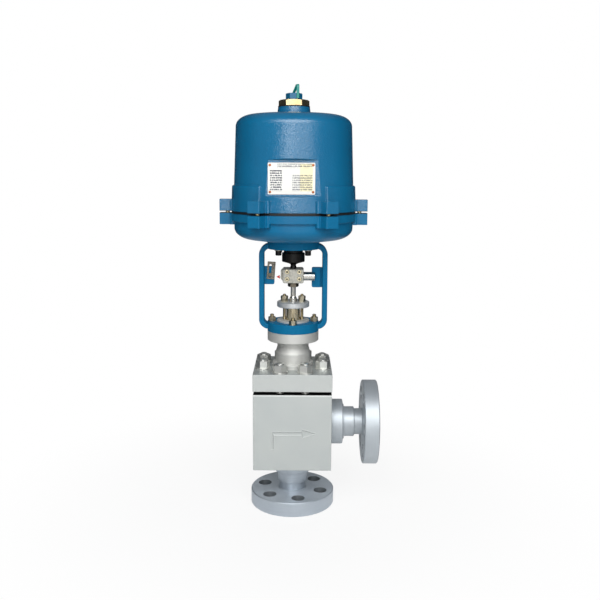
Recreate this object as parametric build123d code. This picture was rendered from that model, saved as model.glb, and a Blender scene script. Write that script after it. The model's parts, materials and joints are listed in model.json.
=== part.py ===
from build123d import *
from math import acos, cos, hypot, pi, radians, sin, sqrt, tan
import os

os.makedirs("parts", exist_ok=True)

# Electric angle control valve, in millimetres.
# Origin: centre of the inlet flange's lower face. +Z is up, the outlet looks along +X,
# and the nameplate and the travel scale face -Y.

# Fits
thread_fit = 0.1
running_fit = 0.05
seat_gap = 0.3
stem_clearance = 0.6

# Ports and their flanges
port_bore_radius = 20.0
port_reach = 92.0
port_mouth = 2.5
neck_radius = 25.75
shoulder_radius = 29.5
shoulder_reach = 47.0
step_radius = 34.5
step_reach = 26.5
outlet_boss_radius = 44.35
inlet_boss_radius = 37.0
boss_reach = 24.0
boss_rounding = 2.0
neck_spigot_radius = 28.0
flange_radius = 83.0
flange_thickness = 28.5
flange_edge = 1.5
flange_hub_radius = 28.0
flange_hub_height = 1.5
flange_hole_count = 6
flange_hole_radius = 13.0
flange_hole_circle = 59.0
inlet_hole_turn = 41.5
outlet_hole_turn = 30.0

# Valve body
block_size = 150.0
block_edge = 0.8
chamber_radius = 38.0
chamber_floor = 32.0
recess_radius = 46.0
recess_depth = 12.0

# Trim: seat ring, cage, plug, stem
seat_ring_height = 12.0
seat_bore_radius = 17.5
seat_cone = 6.0
seat_nose = 10.0
gasket_thickness = 2.0
gasket_width = 6.8
cage_radius = 33.0
cage_bore_radius = 25.0
cage_lip_height = 4.0
cage_window_height = 27.0
cage_window_width = 24.0
cage_window_count = 4
plug_height = 41.0
plug_stem_depth = 26.0
balance_hole_radius = 2.5
balance_hole_circle = 15.0
plug_ring_height = 3.0
plug_ring_depth = 3.0
plug_ring_drop = 7.0
stem_radius = 7.2
stem_thread_radius = 5.0
stem_shoulder_lift = 6.2
stem_shoulder_length = 3.8
stroke = 25.0

# Bonnet
bonnet_gap = 6.2
bonnet_overhang = 0.5
bonnet_thickness = 33.4
collar_inset = 8.0
collar_height = 9.8
bonnet_neck_low_radius = 34.4
bonnet_neck_high_radius = 30.7
bonnet_neck_low_height = 18.0
bonnet_neck_taper = 12.0
head_radius = 50.0
head_height = 19.2
head_edge = 1.0
head_rise = 52.7
disc_radius = 31.5
disc_rise = 21.0
bonnet_spigot_radius = 30.0
bonnet_spigot_depth = 14.0
bush_wall = 4.0
bush_length = 30.0

# Bonnet studs, nuts and washers
stud_radius = 8.0
stud_edge_distance = 12.0
stud_count = 8
stud_first = 22.5
stud_depth = 36.0
stud_hole_clearance = 1.0
stud_tip = 3.4
nut_width = 24.0
nut_height = 14.0
nut_chamfer = 1.6
nut_turns = (0.0, 11.0, -6.0, 2.0, 8.0, -17.0, -16.0, 5.0)
washer_radius = 15.0
washer_thickness = 2.5

# Packing and gland
packing_box_depth = 64.5
packing_base_height = 4.0
packing_ring_count = 5
packing_ring_height = 7.0
follower_radius = 13.6
gland_radius = 31.4
gland_thickness = 10.0
gland_lift = 25.5
gland_edge = 1.0
gland_stud_radius = 3.2
gland_stud_offset = 17.1
gland_stud_depth = 14.0
gland_nut_width = 12.6
gland_nut_height = 5.6
gland_nut_turns = (-12.0, 2.0)
gland_stud_tip = 3.4

# Yoke
yoke_depth = 30.0
yoke_leg_offset = 16.0
yoke_leg = 9.8
yoke_ring_height = 17.5
yoke_foot_drop = 4.0
yoke_foot_corner = 19.0
yoke_head_room = 38.6
yoke_plate_thickness = 12.9
yoke_plate_radius = 50.0
yoke_shoulder_drop = 2.5
yoke_shoulder_corner = 22.0
yoke_rounding = 2.0
yoke_plate_bore = 24.0
pad_half_thickness = 5.0
pad_corner = 3.0
left_pad_gap = 16.6
left_pad_drop = 4.0
left_pad_rise = 30.7
right_pad_gap = 15.8
right_pad_drop = 9.5
right_pad_rise = 29.3
right_pad_web = 4.0
right_pad_web_half = 3.4
yoke_stud_radius = 4.0
yoke_stud_circle = 41.3
yoke_stud_depth = 14.0
yoke_nut_width = 13.0
yoke_nut_height = 7.0
yoke_washer_radius = 8.0
yoke_washer_thickness = 1.6
yoke_stud_tip = 5.4
top_bolt_circle = 39.6
top_bolt_head_radius = 5.75
top_bolt_head_height = 9.4
top_bolt_socket_width = 5.0
top_bolt_socket_depth = 4.0
top_bolt_radius = 4.0
top_bolt_grip = 12.0
top_washer_radius = 7.6
top_washer_thickness = 1.7

# Travel scale
scale_width = 15.5
scale_height = 34.0
scale_thickness = 1.5
scale_offset = 22.8
scale_rise = 23.2
scale_lean = 4.0
scale_slot_width = 5.0
scale_slot_length = 27.0
scale_corner = 1.0
scale_screw_offset = 25.2
scale_screw_rise = 14.4
scale_screw_radius = 2.0
scale_screw_head = 3.8
scale_screw_head_height = 2.6

# Stem clamp, guide rod and pointer
clamp_lift = 38.0
clamp_height = 27.0
clamp_half_width = 20.0
clamp_front_depth = 20.5
clamp_rear_depth = 20.5
clamp_split = 0.5
clamp_edge = 1.2
clamp_ear = 4.5
clamp_ear_chamfer = 6.0
clamp_screw_x = 11.7
clamp_screw_low = 8.2
clamp_screw_high = 22.2
clamp_screw_radius = 2.5
clamp_screw_head = 4.3
clamp_screw_head_height = 5.0
clamp_screw_proud = 1.4
clamp_screw_socket = 3.4
clamp_screw_length = 30.0
rod_radius = 8.3
rod_reach = 22.0
rod_height = 13.2
rod_socket = 3.4
rod_thread_radius = 5.5
rod_end_chamfer = 1.0
pointer_height = 9.4
pointer_gap = 3.8
pointer_length = 5.6
pointer_spread = 2.4
pointer_thickness = 2.0
pointer_stub_radius = 1.6
pointer_stub_depth = 4.0
locknut_width = 18.5
locknut_height = 9.0

# Output shaft and drive
neck_low_radius = 6.3
neck_mid_radius = 5.2
neck_mid_rise = 6.0
neck_top_rise = 8.0
cone_foot_radius = 10.5
cone_foot_rise = 10.0
coupling_radius = 22.0
coupling_low = 13.3
coupling_height = 17.2
shaft_radius = 18.5
shaft_length = 34.5
shaft_bush_length = 35.3
shaft_stub_radius = 6.0
lead_screw_radius = 9.0
lead_screw_lead = 5.0
lead_screw_length = 66.0
coupling_clearance = 2.2

# Actuator base
base_radius = 113.1
base_flat_radius = 50.0
base_bottom_slope = 0.18
base_corner_width = 35.0
base_corner_height = 22.0
base_wall = 8.0
ring_radius = 118.8
ring_thickness = 15.3
base_height = 55.5
base_hub_radius = 34.0
base_pad_radius = 54.0
base_pad_height = 18.5
lug_radius = 140.6
lug_width = 25.6
lug_root_width = 39.0
lug_root_radius = 120.5
lug_height = 22.0
lug_count = 6
lug_edge = 1.5
conduit_boss_radius = 14.0
conduit_boss_height = 7.1
conduit_drop = 30.8
conduit_spacing = 60.0
conduit_thread_radius = 10.0

# Actuator cover
cover_gap = 3.5
cover_foot_radius = 114.9
cover_top_radius = 109.3
cover_wall_height = 156.9
cover_shoulder_width = 32.8
cover_shoulder_height = 21.5
cover_dome_rise = 2.1
cover_wall = 7.0
cover_lobe_radius = 118.9
cover_lobe_top_radius = 116.9
cover_lobe_height = 48.5
cover_lobe_angle = 30.5
cover_lobe_rounding = 3.4
cover_lobe_end_rounding = 3.0
cover_collar_radius = 30.8
cover_collar_top_radius = 29.8
cover_collar_height = 14.2
cover_collar_bore = 20.0
flat_depth = 102.6
flat_margin_low = 2.6
flat_margin_high = 4.5
flat_draft = 16.0
gasket_inset = 0.9
gasket_ring_width = 10.0
cover_screw_circle = 126.0
cover_screw_radius = 4.0
cover_screw_head = 6.5
cover_screw_head_height = 8.0
cover_screw_sink = 9.5
cover_screw_depth = 17.0

# Nameplate
plate_width = 83.8
plate_height = 55.4
plate_thickness = 1.2
plate_corner = 1.5
plate_rise = 61.3
plate_middle_x = -3.0
rivet_radius = 2.3
rivet_rise = 1.3
rivet_inset_x = 3.6
rivet_inset_z = 4.2
rivet_shank_radius = 1.2
rivet_shank_depth = 4.0

# Hand drive port
port_washer_radius = 29.9
port_washer_thickness = 2.0
brass_nut_width = 50.0
brass_nut_height = 11.0
brass_nut_chamfer = 2.0
brass_nut_thread = 12.0
plug_hex_width = 27.0
plug_hex_height = 11.0
plug_hex_lift = 1.2
plug_shank_radius = 12.0
plug_shank_length = 18.0
strap_width = 5.4
strap_thickness = 2.4
strap_x = 7.2
strap_rear_x = -1.8
strap_rear_y = 4.5
strap_top_rise = 16.5

# Drive nut, gears and motor
nut_hub_radius = 22.0
nut_journal_radius = 14.0
nut_journal_length = 4.0
nut_hub_height = 34.0
bearing_radius = 30.0
bearing_height = 6.0
drive_module = 2.5
drive_teeth = 36
drive_pinion_teeth = 12
drive_gear_rise = 6.0
drive_gear_width = 12.0
wheel_module = 1.25
wheel_teeth = 40
motor_pinion_teeth = 12
wheel_width = 8.0
wheel_lift = 4.0
tooth_backlash = 0.3
pressure_angle = 25.0
tooth_tip = 0.85
tooth_root = 1.2
reduction_post_radius = 4.0
reduction_post_shoulder = 8.0
motor_angle = -112.0
motor_radius = 30.0
motor_height = 72.0
motor_flange_radius = 34.0
motor_flange_thickness = 4.0
motor_shaft_radius = 3.0
motor_shaft_depth = 20.0
gear_plate_thickness = 6.0
gear_plate_radius = 92.0
post_radius = 6.0
post_boss_radius = 10.0
post_circle = 72.0
post_angles = (70.0, 140.0, 220.0, 290.0)
post_screw_radius = 3.0
hand_tube_room = 19.0
hand_tube_wall = 3.4
hand_shaft_radius = 8.0
hand_shaft_drop = 7.1
hand_hex_width = 12.0
hand_hex_height = 16.0
board_length = 110.0
board_width = 52.0
board_thickness = 1.6
board_lift = 10.0
board_x = -58.0
board_foot_radius = 3.0
terminal_count = 8
terminal_width = 8.0
terminal_height = 14.0

# Cable glands
gland_hex_width = 24.0
gland_hex_length = 6.0
gland_body_length = 9.0
gland_thread_length = 8.0
cap_width = 23.0
cap_length = 14.0
cap_nose_radius = 9.0

# Heights, radii and places that follow from the sizes above
block_low = port_reach
block_high = block_low + block_size
outlet_height = block_low + block_size / 2
outlet_reach = block_size / 2 + port_reach
seat_floor = block_low + chamber_floor
seat_top = seat_floor + seat_ring_height
gasket_low = block_high - recess_depth
spigot_low = gasket_low + gasket_thickness
stud_circle = block_size / 2 - stud_edge_distance
bonnet_size = block_size + 2 * bonnet_overhang
bonnet_low = block_high + bonnet_gap
bonnet_high = bonnet_low + bonnet_thickness
collar_radius = stud_circle - washer_radius - collar_inset
head_low = bonnet_high + head_rise
head_high = head_low + head_height
disc_top = head_high + disc_rise
gland_low = disc_top + gland_lift
gland_top = gland_low + gland_thickness
ring_top = head_high + yoke_ring_height
yoke_half_width = head_radius + yoke_leg_offset
leg_inner = yoke_half_width - yoke_leg
clamp_low = gland_top + clamp_lift
clamp_top = clamp_low + clamp_height
left_pad_end = -clamp_half_width - left_pad_gap
right_pad_end = clamp_half_width + right_pad_gap
plate_low = clamp_top + yoke_head_room
plate_top = plate_low + yoke_plate_thickness
coupling_low_z = clamp_top + coupling_low
coupling_top = coupling_low_z + coupling_height
shaft_top = coupling_top + shaft_length
lead_screw_top = shaft_top + lead_screw_length
bush_low = coupling_top + stroke + coupling_clearance
hub_top = bush_low + shaft_bush_length
pad_top = plate_top + base_pad_height
base_top = plate_top + base_height
conduit_boss_reach = base_radius + conduit_boss_height
cover_low = base_top + cover_gap
cover_shoulder = cover_low + cover_wall_height
cover_top = cover_shoulder + cover_shoulder_height
collar_top = cover_top + cover_collar_height
plate_middle_z = cover_low + plate_rise
flat_low = plate_middle_z - plate_height / 2 - flat_margin_low
flat_high = plate_middle_z + plate_height / 2 + flat_margin_high
nut_low = hub_top + bearing_height
nut_high = nut_low + nut_hub_height
gear_plate_low = nut_high + bearing_height + running_fit
gear_plate_high = gear_plate_low + gear_plate_thickness
hand_tube_top = lead_screw_top + stroke + hand_tube_room
hand_shaft_top = collar_top - hand_shaft_drop
distance_drive = drive_module * (drive_teeth + drive_pinion_teeth) / 2
distance_wheel = wheel_module * (wheel_teeth + motor_pinion_teeth) / 2


def turned(*corners):
    """Solid of revolution about Z. A corner is (radius, height) or (radius, height, rounding)."""
    profile = make_face(Polyline(*[(c[0], c[1]) for c in corners], close=True))
    for corner in corners:
        if len(corner) == 3:
            vertex = profile.vertices().sort_by_distance(Vector(corner[0], corner[1]))[0]
            profile = fillet(vertex, corner[2])
    return revolve(Plane.XZ * profile, Axis.Z)


def rod(radius, low, high):
    return Pos(0, 0, low) * Cylinder(radius, high - low, align=(Align.CENTER, Align.CENTER, Align.MIN))


def tube(outer, inner, low, high):
    return rod(outer, low, high) - rod(inner, low - 1, high + 1)


def box(x_range, y_range, z_range):
    size = [high - low for low, high in (x_range, y_range, z_range)]
    middle = [(high + low) / 2 for low, high in (x_range, y_range, z_range)]
    return Pos(*middle) * Box(*size)


def circle_places(count, radius, first):
    """Angle in degrees and centre of each copy on a circle about Z."""
    turns = [first + k * 360 / count for k in range(count)]
    return [(turn, radius * cos(radians(turn)), radius * sin(radians(turn))) for turn in turns]


def hexagon(width, low, high, chamfer_low=0.0, chamfer_high=0.0):
    """Hexagon bar with two flats facing -Y and +Y, its corners turned back at the ends."""
    corner = width / sqrt(3) + 0.3
    bar = extrude(Pos(0, 0, low) * RegularPolygon(width / 2, 6, major_radius=False), high - low)
    outline = [(0, low), (corner, low), (corner, high), (0, high)]
    if chamfer_high:
        outline[2:3] = [(corner, high - chamfer_high * 0.58), (corner - chamfer_high, high)]
    if chamfer_low:
        outline[1:2] = [(corner - chamfer_low, low), (corner, low + chamfer_low * 0.58)]
    return bar & turned(*outline) if len(outline) > 4 else bar


def nut(width, height, bore, low, rounding=1.6):
    return hexagon(width, low, low + height, 0, rounding) - rod(bore, low - 1, low + height + 1)


def stud(radius, low, high, tip):
    """Threaded stud with a blunt upper end."""
    return turned((0, low), (radius - 0.8, low), (radius, low + 0.8), (radius, high - tip),
                  (radius * 0.86, high - tip * 0.4), (radius * 0.6, high), (0, high))


def save(name, *solids):
    shape = solids[0] if len(solids) == 1 else Compound(children=list(solids))
    export_step(shape, f"parts/{name}.step")


# Flanges, screwed on the necks of the body. Made with the sealing face at z = 0, the hub upward.
def flange(hole_turn):
    disc = turned(
        (neck_radius + thread_fit, 0),
        (flange_radius - flange_edge, 0),
        (flange_radius, flange_edge),
        (flange_radius, flange_thickness - flange_edge),
        (flange_radius - flange_edge, flange_thickness),
        (flange_hub_radius, flange_thickness),
        (neck_radius + thread_fit, flange_thickness + flange_hub_height),
    )
    for _, x, y in circle_places(flange_hole_count, flange_hole_circle, hole_turn):
        disc -= Pos(x, y, 0) * rod(flange_hole_radius, -1, flange_thickness + 1)
    return disc


to_outlet = Pos(outlet_reach, 0, outlet_height) * Rot(0, -90, 0)
save("inlet_flange", flange(inlet_hole_turn))
save("outlet_flange", to_outlet * flange(outlet_hole_turn))


# Port necks: stepped, turned, with the coned mouth of a lens gasket. Each is screwed in the block by a
# spigot that reaches the chamber.
def port_neck(boss_radius, spigot_length):
    """Neck with its port face at z = 0 and its shoulder on the block's face at port_reach."""
    return turned(
        (port_bore_radius, port_mouth),
        (port_bore_radius + port_mouth, 0),
        (neck_radius, 0),
        (neck_radius, port_reach - shoulder_reach),
        (shoulder_radius, port_reach - shoulder_reach, 1.5),
        (shoulder_radius, port_reach - step_reach),
        (step_radius, port_reach - step_reach),
        (step_radius, port_reach - boss_reach),
        (boss_radius, port_reach - boss_reach, boss_rounding),
        (boss_radius, port_reach),
        (neck_spigot_radius, port_reach),
        (neck_spigot_radius, port_reach + spigot_length),
        (port_bore_radius, port_reach + spigot_length),
    )


save("inlet_neck", port_neck(inlet_boss_radius, chamber_floor))
chamber = rod(chamber_radius, seat_floor, gasket_low)
save("outlet_neck", to_outlet * port_neck(outlet_boss_radius, block_size / 2) - chamber)


# Valve body: a forged block with a chamber from above, a seat floor and two sockets for the necks.
body = box((-block_size / 2, block_size / 2), (-block_size / 2, block_size / 2), (block_low, block_high))
body = chamfer(body.edges(), block_edge)
body -= rod(neck_spigot_radius + thread_fit, block_low - 1, seat_floor + 1)
body -= to_outlet * rod(neck_spigot_radius + thread_fit, port_reach - 1, outlet_reach)
body -= chamber + rod(recess_radius, gasket_low, block_high + 1)
stud_places = circle_places(stud_count, stud_circle, stud_first)
for _, x, y in stud_places:
    body -= Pos(x, y, 0) * rod(stud_radius + thread_fit, block_high - stud_depth, block_high + 1)
save("valve_body", body)

# Seat ring, on the floor of the chamber.
seat_ring = turned(
    (seat_bore_radius, seat_floor),
    (chamber_radius - thread_fit, seat_floor),
    (chamber_radius - thread_fit, seat_top),
    (seat_bore_radius + seat_cone, seat_top),
    (seat_bore_radius, seat_top - seat_cone),
)
save("seat_ring", seat_ring)

# Cage, held down on the seat ring by the bonnet's spigot.
cage = tube(cage_radius, cage_bore_radius, seat_top, spigot_low)
cage += tube(chamber_radius - thread_fit, cage_radius - 1, spigot_low - cage_lip_height, spigot_low)
window_low = seat_top + 4
for turn, _, _ in circle_places(cage_window_count, 0, 0):
    window = box((0, chamber_radius), (-cage_window_width / 2, cage_window_width / 2),
                 (window_low, window_low + cage_window_height))
    cage -= Rot(0, 0, turn) * fillet(window.edges().filter_by(Axis.X), 4)
save("cage", cage)

# Plug, balanced, with a skirt in the seat bore. It stands a hair above the seat.
cone_lift = seat_gap * sqrt(2)
plug_radius = cage_bore_radius - running_fit
nose_radius = seat_bore_radius - seat_gap
cone_low = seat_top - seat_cone - seat_gap + cone_lift
cone_high = cone_low + plug_radius - nose_radius
plug_low = seat_top - seat_cone - seat_nose
plug_high = cone_high + plug_height
plug_ring_high = plug_high - plug_ring_drop
plug_ring_low = plug_ring_high - plug_ring_height
stem_low = plug_high - plug_stem_depth
plug = turned(
    (0, plug_low),
    (nose_radius, plug_low),
    (nose_radius, cone_low),
    (plug_radius, cone_high),
    (plug_radius, plug_ring_low),
    (plug_radius - plug_ring_depth, plug_ring_low),
    (plug_radius - plug_ring_depth, plug_ring_high),
    (plug_radius, plug_ring_high),
    (plug_radius, plug_high),
    (0, plug_high),
)
plug -= rod(stem_radius + thread_fit, stem_low, plug_high + 1)
for _, x, y in circle_places(4, balance_hole_circle, 45):
    plug -= Pos(x, y, 0) * rod(balance_hole_radius, plug_low - 1, plug_high + 1)
for turn in (0, 90, 180, 270):
    notch = Pos(nose_radius, 0, plug_low) * Rot(0, 90, 0) * extrude(
        RegularPolygon(seat_nose * 0.8, 3, rotation=180), seat_nose, both=True)
    plug -= Rot(0, 0, turn) * (notch & rod(nose_radius + 1, plug_low - 1, cone_low - 1))
save("plug", plug)
save("plug_seal_ring", tube(plug_radius, plug_radius - plug_ring_depth, plug_ring_low, plug_ring_high))

# Valve stem: full size through the packing, reduced to its thread under the clamp.
shoulder_low = gland_top + stem_shoulder_lift
stem_top = clamp_low + clamp_height * 0.48
valve_stem = turned(
    (0, stem_low),
    (stem_radius, stem_low),
    (stem_radius, shoulder_low),
    (stem_thread_radius, shoulder_low + stem_shoulder_length),
    (stem_thread_radius, stem_top - 0.8),
    (stem_thread_radius - 0.8, stem_top),
    (0, stem_top),
)
save("valve_stem", valve_stem)

# Bonnet: a square plate with a spigot below, and a turned neck with the head and packing box above.
spigot_radius = recess_radius - thread_fit
bush_radius = stem_radius + running_fit + bush_wall
box_radius = follower_radius + thread_fit
box_low = disc_top - packing_box_depth
stem_bore = stem_radius + stem_clearance
bonnet = box((-bonnet_size / 2, bonnet_size / 2), (-bonnet_size / 2, bonnet_size / 2),
             (bonnet_low, bonnet_high))
bonnet = chamfer(bonnet.edges(), block_edge)
bonnet += turned(
    (0, spigot_low),
    (spigot_radius - 1, spigot_low),
    (spigot_radius, spigot_low + 1),
    (spigot_radius, bonnet_low + 1),
    (0, bonnet_low + 1),
)
socket_low = bonnet_high - bonnet_spigot_depth
bonnet -= turned(
    (0, spigot_low - 1),
    (bush_radius + thread_fit, spigot_low - 1),
    (bush_radius + thread_fit, spigot_low + bush_length),
    (stem_bore, spigot_low + bush_length),
    (stem_bore, socket_low - thread_fit),
    (bonnet_spigot_radius + thread_fit, socket_low - thread_fit),
    (bonnet_spigot_radius + thread_fit, bonnet_high + 1),
    (0, bonnet_high + 1),
)
for _, x, y in stud_places:
    bonnet -= Pos(x, y, 0) * rod(stud_radius + stud_hole_clearance, bonnet_low - 1, bonnet_high + 1)
save("bonnet", bonnet)
neck_low = bonnet_high + collar_height
bonnet_neck = turned(
    (0, socket_low),
    (bonnet_spigot_radius, socket_low),
    (bonnet_spigot_radius, bonnet_high),
    (collar_radius, bonnet_high),
    (collar_radius, neck_low, 2.5),
    (bonnet_neck_low_radius, neck_low),
    (bonnet_neck_low_radius, neck_low + bonnet_neck_low_height, 6),
    (bonnet_neck_high_radius, neck_low + bonnet_neck_low_height + bonnet_neck_taper, 6),
    (bonnet_neck_high_radius, head_low),
    (head_radius - head_edge, head_low),
    (head_radius, head_low + head_edge),
    (head_radius, head_high - head_edge),
    (head_radius - head_edge, head_high),
    (disc_radius, head_high),
    (disc_radius, disc_top - 0.8),
    (disc_radius - 0.8, disc_top),
    (0, disc_top),
)
bonnet_neck -= turned(
    (0, socket_low - 1),
    (stem_bore, socket_low - 1),
    (stem_bore, box_low),
    (box_radius, box_low),
    (box_radius, disc_top - 1),
    (box_radius + 1, disc_top),
    (box_radius + 1, disc_top + 1),
    (0, disc_top + 1),
)
gland_stud_low = disc_top - gland_stud_depth
for side in (-1, 1):
    hole = rod(gland_stud_radius + thread_fit, gland_stud_low, disc_top + 1)
    bonnet_neck -= Pos(side * gland_stud_offset, 0, 0) * hole
yoke_stud_places = circle_places(4, yoke_stud_circle, 0)
yoke_stud_low = head_high - yoke_stud_depth
for _, x, y in yoke_stud_places:
    bonnet_neck -= Pos(x, y, 0) * rod(yoke_stud_radius + thread_fit, yoke_stud_low, head_high + 1)
save("bonnet_neck", bonnet_neck)
save("bonnet_gasket", tube(recess_radius - thread_fit, recess_radius - gasket_width, gasket_low, spigot_low))
save("stem_bush", tube(bush_radius, stem_radius + running_fit, spigot_low, spigot_low + bush_length))

# Bonnet fasteners. Each nut stands a little differently, as it was tightened.
washer_top = bonnet_high + washer_thickness
nut_top = washer_top + nut_height
bonnet_stud = stud(stud_radius, block_high - stud_depth, nut_top + stud_tip, stud_tip)
bonnet_nut = nut(nut_width, nut_height, stud_radius + thread_fit, washer_top, nut_chamfer * 1.6)
bonnet_washer = tube(washer_radius, stud_radius + stud_hole_clearance / 2, bonnet_high, washer_top)
save("bonnet_studs", *[Pos(x, y, 0) * bonnet_stud for _, x, y in stud_places])
save("bonnet_nuts", *[Pos(x, y, 0) * Rot(0, 0, nut_turns[k % len(nut_turns)]) * bonnet_nut
                      for k, (_, x, y) in enumerate(stud_places)])
save("bonnet_washers", *[Pos(x, y, 0) * bonnet_washer for _, x, y in stud_places])

# Packing, follower and gland flange, pulled down by two studs.
packing_low = box_low + packing_base_height
packing_high = packing_low + packing_ring_count * packing_ring_height
packing_bore = stem_radius + running_fit
save("packing_base_ring", tube(follower_radius, stem_bore, box_low, packing_low))
save("packing_rings", *[tube(follower_radius, packing_bore, packing_low + k * packing_ring_height,
                             packing_low + (k + 1) * packing_ring_height)
                        for k in range(packing_ring_count)])
save("gland_follower", tube(follower_radius, stem_bore, packing_high, gland_low))
gland_flange = turned(
    (stem_bore, gland_low),
    (gland_radius - gland_edge, gland_low),
    (gland_radius, gland_low + gland_edge),
    (gland_radius, gland_top - gland_edge),
    (gland_radius - gland_edge, gland_top),
    (stem_bore + gland_edge, gland_top),
    (stem_bore, gland_top - gland_edge),
)
gland_nut_top = gland_top + 2 * gland_nut_height
gland_stud = stud(gland_stud_radius, gland_stud_low, gland_nut_top + gland_stud_tip, 0.8)
gland_studs = []
gland_nuts = []
for side in (-1, 1):
    at_stud = Pos(side * gland_stud_offset, 0, 0)
    gland_flange -= at_stud * rod(gland_stud_radius + 2 * thread_fit, gland_low - 1, gland_top + 1)
    gland_studs.append(at_stud * gland_stud)
    for layer, turn in enumerate(gland_nut_turns):
        low = gland_top + layer * gland_nut_height
        piece = nut(gland_nut_width, gland_nut_height, gland_stud_radius + thread_fit, low)
        gland_nuts.append(at_stud * Rot(0, 0, turn + 5 * side) * piece)
save("gland_flange", gland_flange)
save("gland_studs", *gland_studs)
save("gland_nuts", *gland_nuts)

# Yoke: one casting, a base ring and a top plate joined by a flat strip bent round the window.
strip_low = head_high + yoke_foot_drop
strip_high = plate_top - yoke_shoulder_drop


def rounded_window(half_width, low, high, low_corner, high_corner):
    outline = make_face(Polyline((-half_width, low), (half_width, low), (half_width, high),
                                 (-half_width, high), close=True))
    low_points = outline.vertices().group_by(Axis.Y)[0]
    outline = fillet(low_points, low_corner)
    high_points = [v for v in outline.vertices() if v.Y > high - 0.01]
    return fillet(high_points, high_corner)


strip = rounded_window(yoke_half_width, strip_low, strip_high, yoke_foot_corner, yoke_shoulder_corner)
strip -= rounded_window(yoke_half_width - yoke_leg, strip_low + yoke_leg, strip_high - yoke_leg,
                        yoke_foot_corner - yoke_leg, yoke_shoulder_corner - yoke_leg)
strip = extrude(Plane.XZ * strip, yoke_depth / 2, both=True)
strip = fillet(strip.faces().filter_by(Axis.Y).edges(), yoke_rounding)
yoke = strip + rod(head_radius, head_high, ring_top) + rod(yoke_plate_radius, plate_low, plate_top)
left_pad = box((-leg_inner - 2, left_pad_end), (-pad_half_thickness, pad_half_thickness),
               (clamp_low - left_pad_drop, clamp_low + left_pad_rise))
left_pad = fillet(left_pad.edges().filter_by(Axis.Y).group_by(Axis.X)[-1], pad_corner)
right_pad_low = clamp_low - right_pad_drop
right_pad_high = clamp_low + right_pad_rise
right_pad = box((right_pad_end, leg_inner - right_pad_web), (-pad_half_thickness, pad_half_thickness),
                (right_pad_low, right_pad_high))
right_pad = fillet(right_pad.edges().filter_by(Axis.Y).group_by(Axis.X)[0], pad_corner)
right_pad += box((leg_inner - right_pad_web - 1, leg_inner + 2), (-right_pad_web_half, right_pad_web_half),
                 (right_pad_low, right_pad_high))
yoke += left_pad + right_pad
yoke -= rod(disc_radius + 2 * thread_fit, head_high - 1, ring_top + 1)
yoke -= rod(yoke_plate_bore, plate_low - 1, plate_top + 1)
for _, x, y in yoke_stud_places:
    yoke -= Pos(x, y, 0) * rod(yoke_stud_radius + 2 * thread_fit, head_high - 1, ring_top + 1)
top_bolt_places = circle_places(4, top_bolt_circle, 45)
for _, x, y in top_bolt_places:
    yoke -= Pos(x, y, 0) * rod(top_bolt_radius + 2 * thread_fit, plate_low - 1, plate_top + 1)
scale_screw_x = -clamp_half_width - scale_screw_offset
scale_screw_z = clamp_low + scale_screw_rise
yoke -= Pos(scale_screw_x, 0, scale_screw_z) * Rot(90, 0, 0) * rod(
    scale_screw_radius + thread_fit, 0, pad_half_thickness + 1)
save("yoke", yoke)

yoke_washer_top = ring_top + yoke_washer_thickness
yoke_nut_top = yoke_washer_top + yoke_nut_height
yoke_stud = stud(yoke_stud_radius, yoke_stud_low, yoke_nut_top + yoke_stud_tip, 1)
yoke_nut = nut(yoke_nut_width, yoke_nut_height, yoke_stud_radius + thread_fit, yoke_washer_top)
yoke_washer = tube(yoke_washer_radius, yoke_stud_radius + 2 * thread_fit, ring_top, yoke_washer_top)
save("yoke_studs", *[Pos(x, y, 0) * yoke_stud for _, x, y in yoke_stud_places])
save("yoke_nuts", *[Pos(x, y, 0) * Rot(0, 0, turn / 5 + 12) * yoke_nut for turn, x, y in yoke_stud_places])

# Socket head bolts that hold the actuator down on the yoke's top plate, from below.
bolt_seat = plate_low - top_washer_thickness
top_bolt = rod(top_bolt_head_radius, bolt_seat - top_bolt_head_height, bolt_seat)
top_bolt = chamfer(top_bolt.edges().group_by(Axis.Z)[0], 0.8)
top_bolt += rod(top_bolt_radius, bolt_seat - 1, plate_top + top_bolt_grip)
top_bolt -= hexagon(top_bolt_socket_width, bolt_seat - top_bolt_head_height - 1,
                    bolt_seat - top_bolt_head_height + top_bolt_socket_depth)
top_washer = tube(top_washer_radius, top_bolt_radius + 2 * thread_fit, bolt_seat, plate_low)
save("yoke_top_bolts", *[Pos(x, y, 0) * top_bolt for _, x, y in top_bolt_places])
save("yoke_washers", *[Pos(x, y, 0) * yoke_washer for _, x, y in yoke_stud_places],
     *[Pos(x, y, 0) * top_washer for _, x, y in top_bolt_places])

# Travel scale, a slotted plate that leans a little on the left pad, and its screw.
scale_middle_x = -clamp_half_width - scale_offset
scale_middle_z = clamp_low + scale_rise
scale = RectangleRounded(scale_width, scale_height, scale_corner)
slot_x = (scale_screw_x - scale_middle_x) * cos(radians(scale_lean))
slot_x -= (scale_screw_z - scale_middle_z) * sin(radians(scale_lean))
slot_middle = Pos(slot_x, scale_slot_length / 2 - scale_height / 2 + 2)
scale -= slot_middle * SlotOverall(scale_slot_length, scale_slot_width, rotation=90)
scale = extrude(Plane.XZ * (Rot(0, 0, -scale_lean) * scale), scale_thickness)
scale = Pos(scale_middle_x, -pad_half_thickness, scale_middle_z) * scale
save("travel_scale", scale)
screw_seat = pad_half_thickness + scale_thickness
scale_screw = rod(scale_screw_head, screw_seat, screw_seat + scale_screw_head_height)
scale_screw = fillet(scale_screw.edges().group_by(Axis.Z)[-1], 1)
scale_screw += rod(scale_screw_radius, 0.5, screw_seat + 1)
scale_screw -= box((-5, 5), (-0.5, 0.5), (screw_seat + scale_screw_head_height - 1, screw_seat + 9))
save("scale_screw", Pos(scale_screw_x, 0, scale_screw_z) * Rot(90, 0, 0) * scale_screw)

# Stem clamp: two halves that grip the stem's thread and the output shaft's stub.
stub_low = stem_top + 1.0


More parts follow.
